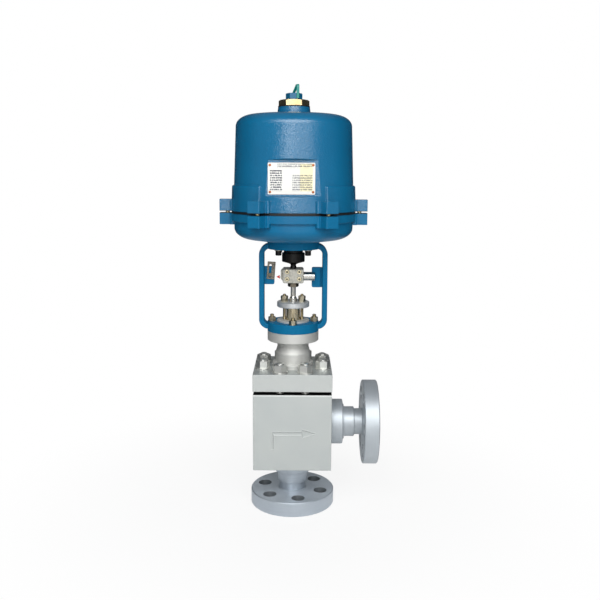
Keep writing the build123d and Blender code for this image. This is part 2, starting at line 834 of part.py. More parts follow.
def clamp_bore():
    return rod(stem_thread_radius + thread_fit, clamp_low - 1, stub_low) + rod(
        shaft_stub_radius + thread_fit, stub_low - 0.5, clamp_top + 1)


clamp_screw_places = [(side * clamp_screw_x, clamp_low + height)
                      for side in (-1, 1) for height in (clamp_screw_low, clamp_screw_high)]
clamp_front = box((-clamp_half_width, clamp_half_width), (-clamp_front_depth, -clamp_split),
                  (clamp_low, clamp_top))
clamp_front = chamfer(clamp_front.edges().filter_by(Axis.Y), clamp_edge * 2)
clamp_front = chamfer(clamp_front.faces().sort_by(Axis.Y)[0].edges(), clamp_edge)
clamp_rear = box((-clamp_half_width - clamp_ear, clamp_half_width), (clamp_split, clamp_rear_depth),
                 (clamp_low, clamp_top))
clamp_rear = chamfer(clamp_rear.edges().filter_by(Axis.Y).group_by(Axis.X)[0], clamp_ear_chamfer)
clamp_rear = chamfer(clamp_rear.edges().filter_by(Axis.Y).group_by(Axis.X)[-1], clamp_edge * 2)
clamp_front -= clamp_bore()
clamp_rear -= clamp_bore()
screw_sink = clamp_screw_head_height - clamp_screw_proud
screw_end = clamp_screw_length - clamp_front_depth + screw_sink
clamp_screws = []
for x, z in clamp_screw_places:
    at_screw = Pos(x, 0, z) * Rot(90, 0, 0)
    clamp_front -= at_screw * rod(clamp_screw_radius + thread_fit, 0, clamp_front_depth + 1)
    clamp_front -= at_screw * rod(clamp_screw_head + 2 * thread_fit, clamp_front_depth - screw_sink,
                                  clamp_front_depth + 1)
    clamp_rear -= at_screw * rod(clamp_screw_radius + thread_fit, -screw_end - 1, 1)
    head_low_y = clamp_front_depth - screw_sink
    head = rod(clamp_screw_head, head_low_y, head_low_y + clamp_screw_head_height)
    head = chamfer(head.edges().group_by(Axis.Z)[-1], 0.6)
    screw = head + rod(clamp_screw_radius, -screw_end, head_low_y + 1)
    screw -= hexagon(clamp_screw_socket, head_low_y + clamp_screw_proud, head_low_y + 9)
    clamp_screws.append(at_screw * screw)
rod_y = -pad_half_thickness - seat_gap - rod_radius
rod_z = clamp_low + rod_height
at_rod = Pos(0, rod_y, rod_z) * Rot(0, 90, 0)
clamp_front -= at_rod * rod(rod_thread_radius + thread_fit, clamp_half_width - rod_socket, clamp_half_width + 1)
guide_rod = rod(rod_radius, clamp_half_width, clamp_half_width + rod_reach)
guide_rod = chamfer(guide_rod.edges().group_by(Axis.Z)[-1], rod_end_chamfer)
guide_rod += rod(rod_thread_radius, clamp_half_width - rod_socket, clamp_half_width + 1)
save("guide_rod", at_rod * guide_rod)
save("clamp_screws", *clamp_screws)
save("clamp_front", clamp_front)

# Pointer: a flat arrow head on a stub that is screwed in the rear half's ear.
pointer_z = clamp_low + pointer_height
pointer_tip_x = left_pad_end + pointer_gap
pointer_y = clamp_split + pointer_stub_radius + 1.4
ear_x = -clamp_half_width - clamp_ear
clamp_rear -= Pos(ear_x, pointer_y, pointer_z) * Rot(0, 90, 0) * rod(
    pointer_stub_radius + thread_fit, -1, pointer_stub_depth)
save("clamp_rear", clamp_rear)
arrow = make_face(Polyline((pointer_tip_x, 0), (pointer_tip_x + pointer_length, -pointer_spread),
                           (pointer_tip_x + pointer_length, pointer_spread), close=True))
arrow = Pos(0, pointer_y, pointer_z) * extrude(Plane.XZ * arrow, pointer_thickness / 2, both=True)
stub = Pos(ear_x, pointer_y, pointer_z) * Rot(0, 90, 0) * rod(
    pointer_stub_radius, pointer_tip_x + pointer_length * 0.6 - ear_x, pointer_stub_depth)
save("pointer", arrow + stub)

# Lock nut on the stem, tight against the clamp from below.
locknut_low = clamp_low - locknut_height
stem_locknut = hexagon(locknut_width, locknut_low, clamp_low, 2.2, 0)
stem_locknut -= rod(stem_thread_radius + thread_fit, locknut_low - 1, clamp_low + 1)
save("stem_locknut", stem_locknut)

# Output shaft of the actuator: stub, thin neck, coupling head, guide and lead screw in one piece.
output_shaft = turned(
    (0, stub_low + 0.3),
    (shaft_stub_radius, stub_low + 0.3),
    (shaft_stub_radius, clamp_top),
    (neck_low_radius + 0.6, clamp_top),
    (neck_low_radius, clamp_top + 0.8),
    (neck_mid_radius, clamp_top + neck_mid_rise),
    (neck_mid_radius + 0.6, clamp_top + neck_top_rise),
    (cone_foot_radius, clamp_top + cone_foot_rise),
    (coupling_radius, coupling_low_z, 1.2),
    (coupling_radius, coupling_top - 1),
    (coupling_radius - 1, coupling_top),
    (shaft_radius, coupling_top),
    (shaft_radius, shaft_top),
    (lead_screw_radius, shaft_top),
    (lead_screw_radius, lead_screw_top - 1),
    (lead_screw_radius - 1, lead_screw_top),
    (0, lead_screw_top),
)
save("output_shaft", output_shaft)

# Actuator base: a cast bowl with a flange ring and six lugs.
wall_low = plate_top + base_bottom_slope * (base_radius - base_corner_width - base_flat_radius)
ring_low = base_top - ring_thickness
corner_center = (base_radius - base_corner_width, wall_low + base_corner_height)


def bowl_profile(shrink, high):
    """Half outline of the bowl, moved inward by shrink, closed along the axis."""
    wide = base_corner_width - shrink * 0.6
    tall = base_corner_height - shrink * 0.6
    center = (base_radius - shrink - wide, wall_low + shrink + tall)
    flat = (base_flat_radius, plate_top + shrink)
    corner = EllipticalCenterArc(center, wide, tall, start_angle=270, arc_size=90)
    outline = Polyline((center[0] + wide, center[1]), (base_radius - shrink, high), (0, high),
                       (0, flat[1]), flat, (center[0], center[1] - tall))
    return Plane.XZ * make_face([corner, outline])


base = revolve(bowl_profile(0, base_top), Axis.Z)
base += turned((0, ring_low), (ring_radius - 1, ring_low), (ring_radius, ring_low + 1),
               (ring_radius, base_top), (0, base_top))


def lug(low, high):
    """One lug with its wider root, pointing along +X."""
    arm = box((lug_root_radius - 12, lug_radius), (-lug_width / 2, lug_width / 2), (low, high))
    arm = fillet(arm.edges().filter_by(Axis.Z).group_by(Axis.X)[-1], lug_edge)
    root = box((lug_root_radius - 20, lug_root_radius), (-lug_root_width / 2, lug_root_width / 2), (low, high))
    root = fillet(root.edges().filter_by(Axis.Z).group_by(Axis.X)[-1], 3)
    return arm + root


lug_places = circle_places(lug_count, cover_screw_circle, 0)
for turn, _, _ in lug_places:
    base += Rot(0, 0, turn) * lug(base_top - lug_height, base_top)
conduit_z = base_top - conduit_drop
conduit_places = [Pos(side * conduit_spacing / 2, 0, conduit_z) * Rot(-90, 0, 0) for side in (-1, 1)]
for at_conduit in conduit_places:
    base += at_conduit * rod(conduit_boss_radius, base_radius - 20, conduit_boss_reach)
hollow = revolve(bowl_profile(base_wall, base_top + 1), Axis.Z)
hollow -= rod(base_hub_radius, plate_top, hub_top)
hollow -= rod(base_pad_radius, plate_top, pad_top)
post_places = circle_places(1, distance_drive, 0) + [
    (turn, post_circle * cos(radians(turn)), post_circle * sin(radians(turn))) for turn in post_angles]
for _, x, y in post_places:
    hollow -= Pos(x, y, 0) * rod(post_boss_radius, plate_top, pad_top)
base -= hollow
coupling_hole = coupling_radius + coupling_clearance
base -= rod(coupling_hole, plate_top - 1, bush_low)
shaft_bush_radius = shaft_radius + running_fit + bush_wall
base -= rod(shaft_bush_radius + thread_fit, bush_low - 1, hub_top + 1)
for _, x, y in top_bolt_places:
    base -= Pos(x, y, 0) * rod(top_bolt_radius + thread_fit, plate_top - 1, plate_top + top_bolt_grip + 1)
for _, x, y in lug_places:
    base -= Pos(x, y, 0) * rod(cover_screw_radius + thread_fit, base_top - cover_screw_depth - 1, base_top + 1)
for at_conduit in conduit_places:
    base -= at_conduit * rod(conduit_thread_radius, base_radius - 26, conduit_boss_reach + 1)
save("actuator_base", base)
save("shaft_bush", tube(shaft_bush_radius, shaft_radius + running_fit, bush_low, hub_top))

# Gasket in the seam.
save("cover_gasket", tube(ring_radius - gasket_inset, ring_radius - gasket_inset - gasket_ring_width,
                          base_top, cover_low))


# Actuator cover: a drafted dome with a thicker skirt that stops short of the nameplate.
def cover_profile(shrink, low):
    wide = cover_shoulder_width - shrink * 0.7
    tall = cover_shoulder_height - shrink * 0.7
    center = (cover_top_radius - shrink - wide, cover_top - shrink - tall)
    dome = cover_top + cover_dome_rise - shrink
    corner = EllipticalCenterArc(center, wide, tall, start_angle=0, arc_size=90)
    crown = ThreePointArc((center[0], center[1] + tall), (center[0] / 2, dome - cover_dome_rise / 4), (0, dome))
    outline = Polyline((0, dome), (0, low), (cover_foot_radius - shrink, low), (center[0] + wide, center[1]))
    return Plane.XZ * make_face([corner, crown, outline])


cover = revolve(cover_profile(0, cover_low), Axis.Z)
flat_line = flat_depth + 30
rise = tan(radians(flat_draft)) * 30
flat_cut = make_face(Polyline(
    (-flat_depth, flat_low), (-flat_line, flat_low - rise), (-flat_line, flat_high + rise),
    (-flat_depth, flat_high), close=True))
flat_cut = extrude(Plane.YZ * flat_cut, cover_foot_radius, both=True)
cover -= flat_cut
lobe_top = cover_low + cover_lobe_height
lobe = turned((cover_foot_radius - 14, cover_low), (cover_lobe_radius, cover_low),
              (cover_lobe_top_radius, lobe_top, cover_lobe_rounding), (cover_foot_radius - 14, lobe_top))
front = cover_lobe_radius + 20
lobe_gap = make_face(Polyline(
    (0, 0), (-front * sin(radians(cover_lobe_angle)), -front * cos(radians(cover_lobe_angle))),
    (0, -front * 1.4),
    (front * sin(radians(cover_lobe_angle)), -front * cos(radians(cover_lobe_angle))), close=True))
lobe -= extrude(Pos(0, 0, cover_low - 1) * lobe_gap, cover_lobe_height + 2)
lobe_ends = [edge for edge in lobe.edges() if edge.length > cover_lobe_height / 2
             and abs(edge.tangent_at(0.5).Z) > 0.9 and hypot(edge.center().X, edge.center().Y) > cover_foot_radius]
cover += fillet(lobe_ends, cover_lobe_end_rounding)
for turn, _, _ in lug_places:
    cover += Rot(0, 0, turn) * lug(cover_low, cover_low + lug_height)
cover += turned((0, cover_top - 2), (cover_collar_radius, cover_top - 2),
                (cover_collar_radius, cover_top + cover_collar_height / 2, 2),
                (cover_collar_top_radius, collar_top), (0, collar_top))
inside = revolve(cover_profile(cover_wall, cover_low - 1), Axis.Z)
inside -= box((-cover_foot_radius, cover_foot_radius), (-cover_foot_radius, -flat_depth + cover_wall),
              (flat_low - 8, flat_high + 8))
cover -= inside
cover -= rod(cover_collar_bore, cover_top - 30, collar_top + 1)
screw_seat_z = cover_low + lug_height - cover_screw_sink
for _, x, y in lug_places:
    cover -= Pos(x, y, 0) * rod(cover_screw_radius + 4 * thread_fit, cover_low - 1, screw_seat_z + 1)
    cover -= Pos(x, y, 0) * rod(cover_screw_head + 4 * thread_fit, screw_seat_z, cover_low + lug_height + 1)
rivet_places = [(plate_middle_x + side * (plate_width / 2 - rivet_inset_x),
                 plate_middle_z + level * (plate_height / 2 - rivet_inset_z))
                for side in (-1, 1) for level in (-1, 1)]
for x, z in rivet_places:
    cover -= Pos(x, 0, z) * Rot(90, 0, 0) * rod(
        rivet_shank_radius + thread_fit, flat_depth - rivet_shank_depth - 0.5, flat_depth + 1)
save("actuator_cover", cover)

cover_screw = rod(cover_screw_head, screw_seat_z, screw_seat_z + cover_screw_head_height)
cover_screw = chamfer(cover_screw.edges().group_by(Axis.Z)[-1], 0.8)
cover_screw += rod(cover_screw_radius, base_top - cover_screw_depth, screw_seat_z + 1)
cover_screw -= hexagon(cover_screw_radius * 1.5, screw_seat_z + cover_screw_head_height / 2,
                       screw_seat_z + cover_screw_head_height + 1)
save("cover_screws", *[Pos(x, y, 0) * cover_screw for _, x, y in lug_places])

# Nameplate on the flat, with four domed rivets.
plate_front = flat_depth + plate_thickness
nameplate = extrude(Plane.XZ * RectangleRounded(plate_width, plate_height, plate_corner), plate_thickness)
nameplate = Pos(plate_middle_x, -flat_depth, plate_middle_z) * nameplate
rivet = turned((0, flat_depth - rivet_shank_depth), (rivet_shank_radius, flat_depth - rivet_shank_depth),
               (rivet_shank_radius, plate_front), (rivet_radius, plate_front),
               (rivet_radius * 0.85, plate_front + rivet_rise * 0.6),
               (rivet_radius * 0.45, plate_front + rivet_rise), (0, plate_front + rivet_rise))
rivets = []
for x, z in rivet_places:
    at_rivet = Pos(x, 0, z) * Rot(90, 0, 0)
    nameplate -= at_rivet * rod(rivet_shank_radius + thread_fit, flat_depth - 1, plate_front + 1)
    rivets.append(at_rivet * rivet)
save("nameplate", nameplate)
save("nameplate_rivets", *rivets)

# Hand drive port on top: sealing washer, brass nut, hexagon plug and its seal strap.
washer_high = collar_top + port_washer_thickness
brass_top = washer_high + brass_nut_height
brass_thread_radius = cover_collar_bore - thread_fit
save("port_washer", tube(port_washer_radius, cover_collar_bore + 1, collar_top, washer_high))
brass_low = collar_top - brass_nut_thread
brass_nut = hexagon(brass_nut_width, washer_high, brass_top, 0, brass_nut_chamfer * 1.6)
brass_nut += rod(brass_thread_radius, brass_low, washer_high + 1)
brass_nut -= rod(plug_shank_radius + thread_fit, brass_low - 1, brass_top + 1)
save("brass_nut", brass_nut)
hex_low = brass_top + plug_hex_lift
hex_top = hex_low + plug_hex_height
port_plug = hexagon(plug_hex_width, hex_low, hex_top, 2.4, 1.6)
port_plug += rod(plug_shank_radius + 1.6, brass_top, hex_low + 1)
port_plug += rod(plug_shank_radius, hex_low - plug_shank_length, hex_low + 1)
port_plug -= rod(plug_shank_radius - 3, hex_low - plug_shank_length - 1, hex_low - 4)
save("port_plug", port_plug)
strap_front_y = -plug_hex_width / 2 - strap_thickness / 2
strap_top = hex_top + strap_top_rise - strap_thickness / 2
strap_line = FilletPolyline(
    (strap_x, strap_front_y, hex_low + 1.5),
    (strap_x, strap_front_y - 0.5, strap_top - 1),
    (strap_x - 1.5, strap_front_y + 11, strap_top),
    (strap_rear_x, strap_rear_y, hex_top - 1),
    radius=4.2)
strap_section = Plane(origin=(strap_x, strap_front_y, hex_low + 1.5), x_dir=(1, 0, 0),
                      z_dir=strap_line.tangent_at(0)) * RectangleRounded(strap_width, strap_thickness, 0.8)
seal_strap = sweep(strap_section, path=strap_line)
seal_strap -= port_plug
save("seal_strap", seal_strap)

# Drive inside the actuator. The nut turns on thrust bearings and moves the lead screw.
reduction_x = distance_drive
motor_x = reduction_x + distance_wheel * cos(radians(motor_angle))
motor_y = distance_wheel * sin(radians(motor_angle))


def involute(angle):
    return tan(angle) - angle


def gear(module, teeth, width, turn=0.0):
    """Spur gear from z = 0, one tooth centred on turn degrees."""
    pitch = module * teeth / 2
    base_circle = pitch * cos(radians(pressure_angle))
    tip = pitch + module * tooth_tip
    root = pitch - module * tooth_root
    start = max(base_circle, root + 0.01)
    half = pi / (2 * teeth) - tooth_backlash / (2 * pitch) + involute(radians(pressure_angle))
    steps = 3
    flank = [(root, half - involute(acos(min(1, base_circle / start))))]
    for k in range(steps + 1):
        radius = start + (tip - start) * k / steps
        flank.append((radius, half - involute(acos(min(1, base_circle / radius)))))
    outline = []
    for k in range(teeth):
        middle = radians(turn) + 2 * pi * k / teeth
        outline += [(r * cos(middle - a), r * sin(middle - a)) for r, a in flank]
        outline += [(r * cos(middle + a), r * sin(middle + a)) for r, a in reversed(flank)]
    return extrude(make_face(Polyline(*outline, close=True)), width)


drive_gear_low = nut_low + drive_gear_rise
wheel_low = drive_gear_low + drive_gear_width + wheel_lift
drive_nut = turned(
    (0, nut_low - nut_journal_length),
    (nut_journal_radius, nut_low - nut_journal_length),
    (nut_journal_radius, nut_low + running_fit),
    (nut_hub_radius, nut_low + running_fit),
    (nut_hub_radius, nut_high),
    (nut_journal_radius, nut_high),
    (nut_journal_radius, gear_plate_low),
    (0, gear_plate_low),
)
drive_nut += Pos(0, 0, drive_gear_low) * gear(drive_module, drive_teeth, drive_gear_width)
drive_nut -= rod(lead_screw_radius + running_fit, nut_low - 20, gear_plate_low + 1)
save("drive_nut", drive_nut)
bearing_bore = nut_journal_radius + running_fit
save("thrust_bearings", tube(bearing_radius, bearing_bore, hub_top, nut_low),
     tube(bearing_radius, bearing_bore, nut_high + running_fit, gear_plate_low))
hand_tube_bore = nut_journal_radius - hand_tube_wall
hand_shaft = turned(
    (0, hand_tube_top - 4),
    (hand_tube_bore, hand_tube_top - 4),
    (hand_tube_bore, gear_plate_low),
    (nut_journal_radius, gear_plate_low),
    (nut_journal_radius, hand_tube_top - 2),
    (hand_shaft_radius, hand_tube_top + 4),
    (hand_shaft_radius, hand_shaft_top - hand_hex_height),
    (0, hand_shaft_top - hand_hex_height),
)
hand_shaft += hexagon(hand_hex_width, hand_shaft_top - hand_hex_height - 1, hand_shaft_top, 0, 1)
save("hand_shaft", hand_shaft)

# Reduction gear: a wheel and a pinion in one, turning on a fixed post.
pinion_turn = 180 + 180 / drive_pinion_teeth
wheel_turn = 0.0
gear_bore = reduction_post_radius + running_fit
reduction_low = drive_gear_low - 2
reduction_gear = Pos(0, 0, drive_gear_low) * gear(drive_module, drive_pinion_teeth, drive_gear_width, pinion_turn)
reduction_gear += rod(reduction_post_shoulder, reduction_low, wheel_low + wheel_width + 2)
reduction_gear += Pos(0, 0, wheel_low) * gear(wheel_module, wheel_teeth, wheel_width, wheel_turn)
reduction_gear -= rod(gear_bore, reduction_low - 1, wheel_low + wheel_width + 3)
save("reduction_gear", Pos(reduction_x, 0, 0) * reduction_gear)
reduction_post = rod(reduction_post_shoulder, pad_top, reduction_low - running_fit)
reduction_post += rod(reduction_post_radius, reduction_low - 1, gear_plate_high)
save("reduction_post", Pos(reduction_x, 0, 0) * reduction_post)

# Motor on the gear plate, with its pinion hanging through.
motor_pinion_turn = motor_angle + 180
wheel_phase = (motor_angle - wheel_turn) / (360 / wheel_teeth)
motor_pinion_turn += 180 / motor_pinion_teeth + (wheel_phase % 1) * 360 / motor_pinion_teeth
motor_pinion = Pos(0, 0, wheel_low - 1) * gear(wheel_module, motor_pinion_teeth, wheel_width + 2, motor_pinion_turn)
motor_pinion += rod(motor_shaft_radius, wheel_low - 1, gear_plate_high + motor_shaft_depth)
save("motor_pinion", Pos(motor_x, motor_y, 0) * motor_pinion)
motor = rod(motor_flange_radius, gear_plate_high, gear_plate_high + motor_flange_thickness)
motor += turned((0, gear_plate_high + 1), (motor_radius, gear_plate_high + 1),
                (motor_radius, gear_plate_high + motor_height, 4), (0, gear_plate_high + motor_height))
motor -= rod(motor_shaft_radius + running_fit, gear_plate_high - 1, gear_plate_high + motor_shaft_depth + 1)
save("motor", Pos(motor_x, motor_y, 0) * motor)

# Gear plate on four posts, with the control board beside the motor.
gear_plate = rod(gear_plate_radius, gear_plate_low, gear_plate_high)
gear_plate -= rod(nut_journal_radius + 1, gear_plate_low - 1, gear_plate_high + 1)
gear_plate -= Pos(reduction_x, 0, 0) * rod(gear_bore, gear_plate_low - 1, gear_plate_high + 1)
gear_plate -= Pos(motor_x, motor_y, 0) * rod(motor_shaft_radius + 6, gear_plate_low - 1, gear_plate_high + 1)
posts = []
for turn in post_angles:
    at_post = Pos(post_circle * cos(radians(turn)), post_circle * sin(radians(turn)), 0)
    gear_plate -= at_post * rod(post_screw_radius + thread_fit, gear_plate_low - 1, gear_plate_high + 1)
    post = rod(post_radius, pad_top, gear_plate_low) + rod(post_screw_radius, gear_plate_low - 1, gear_plate_high)
    post += hexagon(post_radius * 1.8, gear_plate_high, gear_plate_high + 4)
    posts.append(at_post * post)
save("gear_plate", gear_plate)
save("plate_posts", *posts)
board_low = gear_plate_high + board_lift
board = box((board_x - board_width / 2, board_x + board_width / 2), (-board_length / 2, board_length / 2),
            (board_low, board_low + board_thickness))
for side in (-1, 1):
    for end in (-1, 1):
        board += Pos(board_x + side * (board_width / 2 - 6), end * (board_length / 2 - 16), 0) * rod(
            board_foot_radius, gear_plate_high, board_low + 0.5)
for k in range(terminal_count):
    middle = (k - (terminal_count - 1) / 2) * (terminal_width + 1)
    board += box((board_x + 2, board_x + 16), (middle - terminal_width / 2, middle + terminal_width / 2),
                 (board_low + 1, board_low + terminal_height))
save("control_board", board)

# Two cable glands at the back of the base, blanked by their dome caps.
gland_bodies = []
gland_caps = []
for at_conduit in conduit_places:
    seat = conduit_boss_reach
    thread = rod(conduit_thread_radius - thread_fit, seat - gland_thread_length, seat + 1)
    neck = rod(conduit_thread_radius - 1, seat, seat + gland_hex_length + gland_body_length)
    gland_bodies.append(at_conduit * (hexagon(gland_hex_width, seat, seat + gland_hex_length, 1, 1) + thread + neck))
    cap_low = seat + gland_hex_length + 0.5
    cap = hexagon(cap_width, cap_low, cap_low + cap_length / 2, 0, 1.4)
    cap += turned((0, cap_low + 1), (cap_nose_radius + 1.5, cap_low + 1),
                  (cap_nose_radius, cap_low + cap_length, 3), (0, cap_low + cap_length))
    cap -= rod(conduit_thread_radius - 1 + thread_fit, cap_low - 1, seat + gland_hex_length + gland_body_length)
    gland_caps.append(at_conduit * cap)
save("cable_glands", *gland_bodies)
save("cable_gland_caps", *gland_caps)
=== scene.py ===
# %% [markdown]
# This scene dresses an electric angle control valve: a forged steel block with two
# flanged ports, a bolted bonnet, a blue yoke and a blue motor housing on top.
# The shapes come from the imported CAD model, which is loaded first and never moved.
# Blender adds what CAD leaves out: threads, the stamped flow arrow, the print on the
# plates, and a finish for every surface.

import json
import math

import bpy
from mathutils import Matrix, Vector

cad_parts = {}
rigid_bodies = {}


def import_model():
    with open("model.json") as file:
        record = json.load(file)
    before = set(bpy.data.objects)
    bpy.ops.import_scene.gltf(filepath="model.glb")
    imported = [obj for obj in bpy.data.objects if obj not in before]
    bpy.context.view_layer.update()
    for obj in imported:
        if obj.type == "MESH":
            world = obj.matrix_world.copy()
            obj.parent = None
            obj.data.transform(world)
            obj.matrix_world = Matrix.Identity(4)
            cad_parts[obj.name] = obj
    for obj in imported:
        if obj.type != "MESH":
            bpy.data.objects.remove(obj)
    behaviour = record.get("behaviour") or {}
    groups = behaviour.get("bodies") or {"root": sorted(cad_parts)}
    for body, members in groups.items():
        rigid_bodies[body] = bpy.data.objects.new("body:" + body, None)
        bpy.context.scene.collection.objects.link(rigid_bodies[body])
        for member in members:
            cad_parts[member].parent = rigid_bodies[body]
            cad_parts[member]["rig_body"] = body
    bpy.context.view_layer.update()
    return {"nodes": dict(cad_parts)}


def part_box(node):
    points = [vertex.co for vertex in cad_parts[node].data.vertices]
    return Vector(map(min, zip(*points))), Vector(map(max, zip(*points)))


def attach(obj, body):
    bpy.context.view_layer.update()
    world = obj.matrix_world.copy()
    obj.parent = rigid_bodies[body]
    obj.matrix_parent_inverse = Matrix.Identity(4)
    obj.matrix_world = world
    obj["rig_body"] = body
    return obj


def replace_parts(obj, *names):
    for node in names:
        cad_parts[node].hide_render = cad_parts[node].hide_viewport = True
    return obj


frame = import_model()
nodes = frame["nodes"]

# %% [markdown]
# The picture was taken from a little above the middle of the valve, tilted down, so
# upright edges converge slowly towards the bottom. A shifted lens would keep them
# parallel, so the camera gets the measured place, tilt and focal length, and no shift.
# A camera, a lamp and a mesh are all data that an object shows, and `shown` makes that
# object.

# %% Camera
MM = 0.001
eye = Vector((13.3, -1449.2, 652.9)) * MM
tilt_down = math.radians(9.42)
lean = math.radians(0.341)


def shown(name, data):
    """A new object in the scene for a camera, a lamp or a mesh."""
    thing = bpy.data.objects.new(name, data)
    bpy.context.scene.collection.objects.link(thing)
    return thing


lens = bpy.data.cameras.new("lens")
lens.lens = 45.14
lens.sensor_width = 36
lens.clip_start = 0.05
camera = shown("camera", lens)
look = Matrix.Rotation(math.pi / 2 - tilt_down, 4, "X") @ Matrix.Rotation(lean, 4, "Z")
camera.matrix_world = Matrix.Translation(eye) @ look
bpy.context.scene.camera = camera
bpy.context.scene.view_settings.view_transform = "Standard"
print("camera at", tuple(round(c, 3) for c in eye))

# %% [markdown]
# A finish is a sum of simple patterns, and a sum reads best as arithmetic. A Signal
# wraps one output socket, and each operator adds one Math node, so `1 - mask * 0.3`
# builds two. The reflected forms, such as __rsub__, let a plain number stand on the
# left. An operation that has no sign of its own, such as MAXIMUM, is called by name.

# %% One number that varies over a surface
def maths(operation, *values):
    """One Math node, whose inputs are signals or plain numbers."""
    graph = next(value.graph for value in values if isinstance(value, Signal))
    return graph.node("ShaderNodeMath", {"operation": operation}, dict(enumerate(values)))


class Signal:
    """An output socket that takes part in sums like a number."""

    def __init__(self, graph, socket):
        self.graph = graph
        self.socket = socket

    def __add__(self, other):
        return maths("ADD", self, other)

    def __radd__(self, other):
        return maths("ADD", other, self)

    def __sub__(self, other):
        return maths("SUBTRACT", self, other)

    def __rsub__(self, other):
        return maths("SUBTRACT", other, self)

    def __mul__(self, other):
        return maths("MULTIPLY", self, other)

    def __rmul__(self, other):
        return maths("MULTIPLY", other, self)

    def __truediv__(self, other):
        return maths("DIVIDE", self, other)

    def __lt__(self, other):
        return maths("LESS_THAN", self, other)

    def __gt__(self, other):
        return maths("GREATER_THAN", self, other)

    def __mod__(self, other):
        return maths("FLOORED_MODULO", self, other)

    def __pow__(self, other):
        return maths("POWER", self, other)

    def __abs__(self):
        return maths("ABSOLUTE", self)


print("signs:", "+ - * / < > % ** abs")

# %% [markdown]
# Every other node comes from one method, which takes the node's type, its settings and
# the values or links of its sockets. A Graph is the node tree of a material or of the
# world.

# %% Node trees
class Graph:
    """A node tree, of a material or of the world."""

    def __init__(self, tree):
        self.tree = tree

    def node(self, kind, settings=None, inputs=None, output=0):
        """Adds a node, with its settings first, and gives one of its outputs."""
        node = self.tree.nodes.new(kind)
        for key, value in (settings or {}).items():
            setattr(node, key, value)
        for key, value in (inputs or {}).items():
            self.feed(node.inputs[key], value)
        return Signal(self, node.outputs[output])

    def feed(self, socket, value):
        if isinstance(value, Signal):
            self.tree.links.new(value.socket, socket)
        else:
            socket.default_value = value

    def show(self, shader):
        """Sends a shader to the tree's output."""
        out = next(n for n in self.tree.nodes if n.type.startswith("OUTPUT"))
        self.tree.links.new(shader.socket, out.inputs["Surface"])

    def ramp(self, value, start, end, first=0.0, last=1.0, curve="LINEAR"):
        """Runs from first to last while the value runs from start to end, and no further."""
        return self.node("ShaderNodeMapRange", {"interpolation_type": curve}, {
            "Value": value, "From Min": start, "From Max": end, "To Min": first, "To Max": last})


kinds = [kind for kind in dir(bpy.types) if kind.startswith("ShaderNode")]
print("kinds of shader node to choose from:", len(kinds))

# %% [markdown]
# A Finish is one material, and it is built up like real paint: a base coat that varies
# softly, then coats laid over it where a mask says so. Broken edges need no bevelled
# faces, because the Bevel node gives the normal that a rounded edge would have, and
# where that normal leaves the true one, there is an edge. The fine relief of paint or
# of a cut surface is a bump, since it is far too small for geometry.

# %% Finishes
class Finish(Graph):
    """One material. Keyword values go straight to the Principled shader's sockets."""

    def __init__(self, name, **sockets):
        self.material = bpy.data.materials.new(name)
        self.material.use_nodes = True
        super().__init__(self.material.node_tree)
        self.shader = self.tree.nodes["Principled BSDF"]
        for socket, value in sockets.items():
            self.set(socket.replace("_", " "), value)

    def set(self, socket, value):
        self.feed(self.shader.inputs[socket], value)

    def place(self):
        """Where a point is on the object, in metres."""
        return self.node("ShaderNodeTexCoord", output="Object")

    def axes(self):
        """The same place as three numbers."""
        split = self.node("ShaderNodeSeparateXYZ", inputs={"Vector": self.place()})
        return [Signal(self, socket) for socket in split.socket.node.outputs]

    def noise(self, scale, detail=2.0, roughness=0.5, stretch=None):
        where = self.place()
        if stretch:
            where = self.node("ShaderNodeMapping", inputs={"Vector": where, "Scale": stretch})
        inputs = {"Vector": where, "Scale": scale, "Detail": detail, "Roughness": roughness}
        return self.node("ShaderNodeTexNoise", inputs=inputs, output="Fac")

    def blend(self, amount, first, second):
        """A colour between two colours."""
        factor, colour_a, colour_b, mixed = 0, 6, 7, 2
        return self.node("ShaderNodeMix", {"data_type": "RGBA"},
                         {factor: amount, colour_a: first, colour_b: second}, mixed)

    def coat(self, amount, colour):
        """Lays a colour over the base colour that is already there."""
        under = self.shader.inputs["Base Color"].links[0].from_socket
        self.set("Base Color", self.blend(amount, Signal(self, under), colour))

    def rounded(self, radius):
        """The surface's normal, as if its edges were rounded by that radius in metres."""
        return self.node("ShaderNodeBevel", {"samples": 6}, {"Radius": radius}, "Normal")

    def edges(self, radius):
        """1 along edges and 0 on faces."""
        true = self.node("ShaderNodeNewGeometry", output="Normal")
        alike = self.node("ShaderNodeVectorMath", {"operation": "DOT_PRODUCT"},
                          {0: true, 1: self.rounded(radius)}, "Value")
        return self.ramp(alike, 0.995, 0.86)

    def upward(self):
        """1 on faces that look up and 0 on upright ones."""
        normal = self.node("ShaderNodeNewGeometry", output="Normal")
        rise = self.node("ShaderNodeSeparateXYZ", inputs={"Vector": normal}, output="Z")
        return self.ramp(rise, 0.6, 0.95)

    def relief(self, height, depth, strength=1.0, edge=0.4 * MM):
        """A bump of that depth in metres, on a surface whose edges are broken by edge."""
        inputs = {"Height": height, "Distance": depth, "Strength": strength,
                  "Normal": self.rounded(edge)}
        self.set("Normal", self.node("ShaderNodeBump", inputs=inputs, output="Normal"))


print("materials so far:", len(bpy.data.materials))

# %% [markdown]
# Screens store colours on a bent scale, and shaders want plain amounts of light, so a
# colour that is read off a picture is straightened first: a middle grey of 128 is only
# about a fifth of the light of white. A CAD piece wears a finish in its material slot.

# %% Colours and wearing them
def srgb(red, green, blue):
    """A colour by its 0 to 255 screen values, as the linear numbers that a shader wants."""
    def linear(value):
        value = value / 255
        return value / 12.92 if value <= 0.04045 else ((value + 0.055) / 1.055) ** 2.4
    return (linear(red), linear(green), linear(blue), 1.0)


